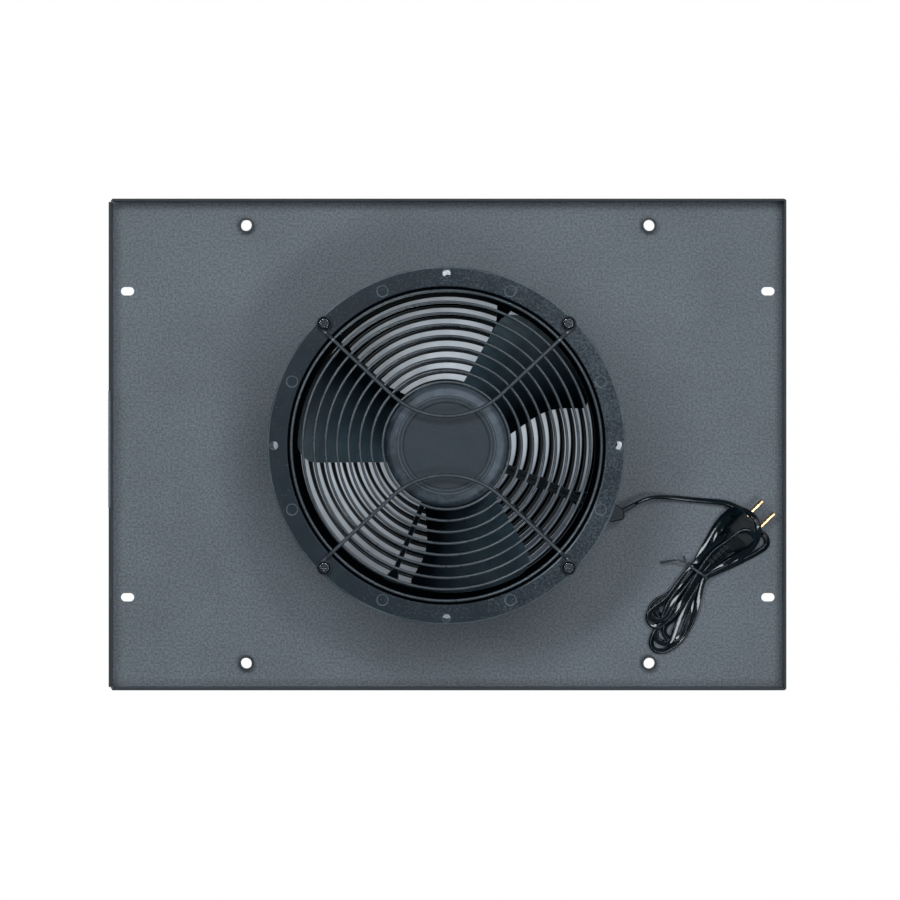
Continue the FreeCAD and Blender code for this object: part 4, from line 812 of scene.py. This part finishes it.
def ring_mesh(bm, radius, level):
    """One round-wire ring, its radius and level in millimetres."""
    rings = []
    for i in range(RING_SEGMENTS):
        a = 2 * math.pi * i / RING_SEGMENTS
        out = Vector((math.cos(a), math.sin(a), 0))
        ring = []
        for k in range(WIRE_SIDES):
            b = 2 * math.pi * k / WIRE_SIDES
            height = level + RING_WIRE_RADIUS * math.sin(b)
            p = out * (radius + RING_WIRE_RADIUS * math.cos(b)) + Vector((0, 0, height))
            ring.append(bm.verts.new(p * MM))
        rings.append(ring)
    for r0, r1 in zip(rings, rings[1:] + rings[:1]):
        join_rings(bm, r0, r1)


def add_guard_rings(side, node, level, material):
    bm = bmesh.new()
    for radius in RING_RADII:
        ring_mesh(bm, radius, level)
    rings = make_object(side + "_rings", bm, material)
    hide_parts(node)


# ---- The whole part ----
def dress(material, *nodes):
    """Gives CAD nodes their material."""
    for node in nodes:
        data = NODES[node].data
        data.materials.clear()
        data.materials.append(material)


def dress_metals():
    dress(
        metal(
            "black_oxide", (0.012, 0.015, 0.018), (0.17, 0.185, 0.20), 0.16,
            # The rim colour paints a glint on the screw heads' rims
            rim=(0.90, 0.95, 1.0), grain=800.0,
        ),
        "bracket_screws", "intake_guard_screws", "exhaust_guard_screws", "fan_mount_screws",
    )
    dress(
        metal("zinc_plate", (0.55, 0.57, 0.60), (0.80, 0.82, 0.85), 0.30),
        "exhaust_guard_nuts", "fan_mount_washers", "fan_mount_nuts",
    )
    dress(
        metal("ground_steel", (0.42, 0.43, 0.45), (0.60, 0.61, 0.63), 0.28),
        "rear_bearing", "front_bearing", "preload_washer", "shaft", "circlip",
    )
    dress(
        metal("lamination_steel", (0.22, 0.23, 0.24), (0.34, 0.35, 0.36), 0.40, scratch=(1, 1, 12)),
        "stator_core", "rotor_cup",
    )
    dress(
        metal("cast_aluminium", (0.46, 0.47, 0.48), (0.62, 0.63, 0.64), 0.48),
        "motor_bracket", "rotor_cage",
    )
    dress(
        metal("enamelled_copper", (0.34, 0.12, 0.04), (0.52, 0.21, 0.08), 0.32, scratch=(1, 1, 6)),
        "stator_windings",
    )
    dress(
        metal("blade_brass", (0.45, 0.23, 0.09), (0.76, 0.53, 0.31), 0.30, rim=(0.34, 0.13, 0.04)),
        "plug_blades",
    )
    dress(
        metal("plated_brass", (0.55, 0.48, 0.32), (0.75, 0.68, 0.50), 0.30),
        "terminal_blades",
    )


def dress_plastics():
    dress(
        moulded(
            "housing_plastic", (0.004, 0.010, 0.017), (0.009, 0.018, 0.027), 0.40,
            # Rims partly worn and partly a painted highlight on the flange's outline and the bell's
            # edges
            rim=(0.20, 0.25, 0.28), rim_width=0.0009, shine=0.27,
            dust=flange_dust_and_light, deep=deep_in_throat,
        ),
        "fan_housing",
    )
    dress(
        moulded(
            "impeller_plastic", (0.013, 0.026, 0.035), (0.042, 0.066, 0.083), 0.42,
            grain_depth=0.30, shine=0.36, hub=True, deep=deep_in_blades,
        ),
        "impeller",
    )
    dress(
        moulded("black_nylon", (0.006, 0.008, 0.010), (0.012, 0.015, 0.018), 0.45),
        "mounting_sleeves", "motor_end_cap", "terminal_block",
    )
    dress(
        moulded(
            "moulded_vinyl", (0.001, 0.0025, 0.0035), (0.003, 0.006, 0.008), 0.30,
            grain_depth=0.40, shine=0.10,
        ),
        "plug_body", "lead_clip",
    )
    dress(
        moulded(
            "connector_plastic", (0.010, 0.016, 0.022), (0.019, 0.028, 0.036), 0.42, shine=0.35
        ),
        "cord_connector",
    )
    dress(
        vinyl("lead_insulation", (0.02, 0.022, 0.025), (0.04, 0.043, 0.047), 0.35, gloss=0.0),
        "motor_leads",
    )


def main():
    add_camera()
    add_world()
    add_floor()
    for lamp in LAMPS:
        add_lamp(*lamp)

    cord_skin = vinyl("cord_vinyl", (0.001, 0.004, 0.006), (0.003, 0.009, 0.013), 0.10, gloss=0.82)
    tie_skin = coated_wire("tie_plastic", (0.035, 0.042, 0.048), (0.070, 0.082, 0.092), 0.30)
    wire = coated_wire("guard_coating", (0.030, 0.038, 0.045), (0.060, 0.074, 0.085), 0.30)
    # The intake guard's coating painted darker: painted shade for the rear guard behind the fan
    shaded_rear_wire = coated_wire(
        "rear_guard_coating_shaded", (0.004, 0.005, 0.007), (0.010, 0.013, 0.016), 0.42
    )
    tie = add_tie(tie_skin)
    add_cord(cord_skin)
    add_guard_rings("intake", "intake_guard_rings", INTAKE_RING_LEVEL, wire)
    add_guard_rings("exhaust", "exhaust_guard_rings", EXHAUST_RING_LEVEL, shaded_rear_wire)

    dress(powder_coat(), "panel")
    dress(wire, "intake_guard_stays")
    dress(shaded_rear_wire, "exhaust_guard_stays")
    dress_plastics()
    dress_metals()


main()
bpy.context.scene.view_settings.view_transform = "Standard"
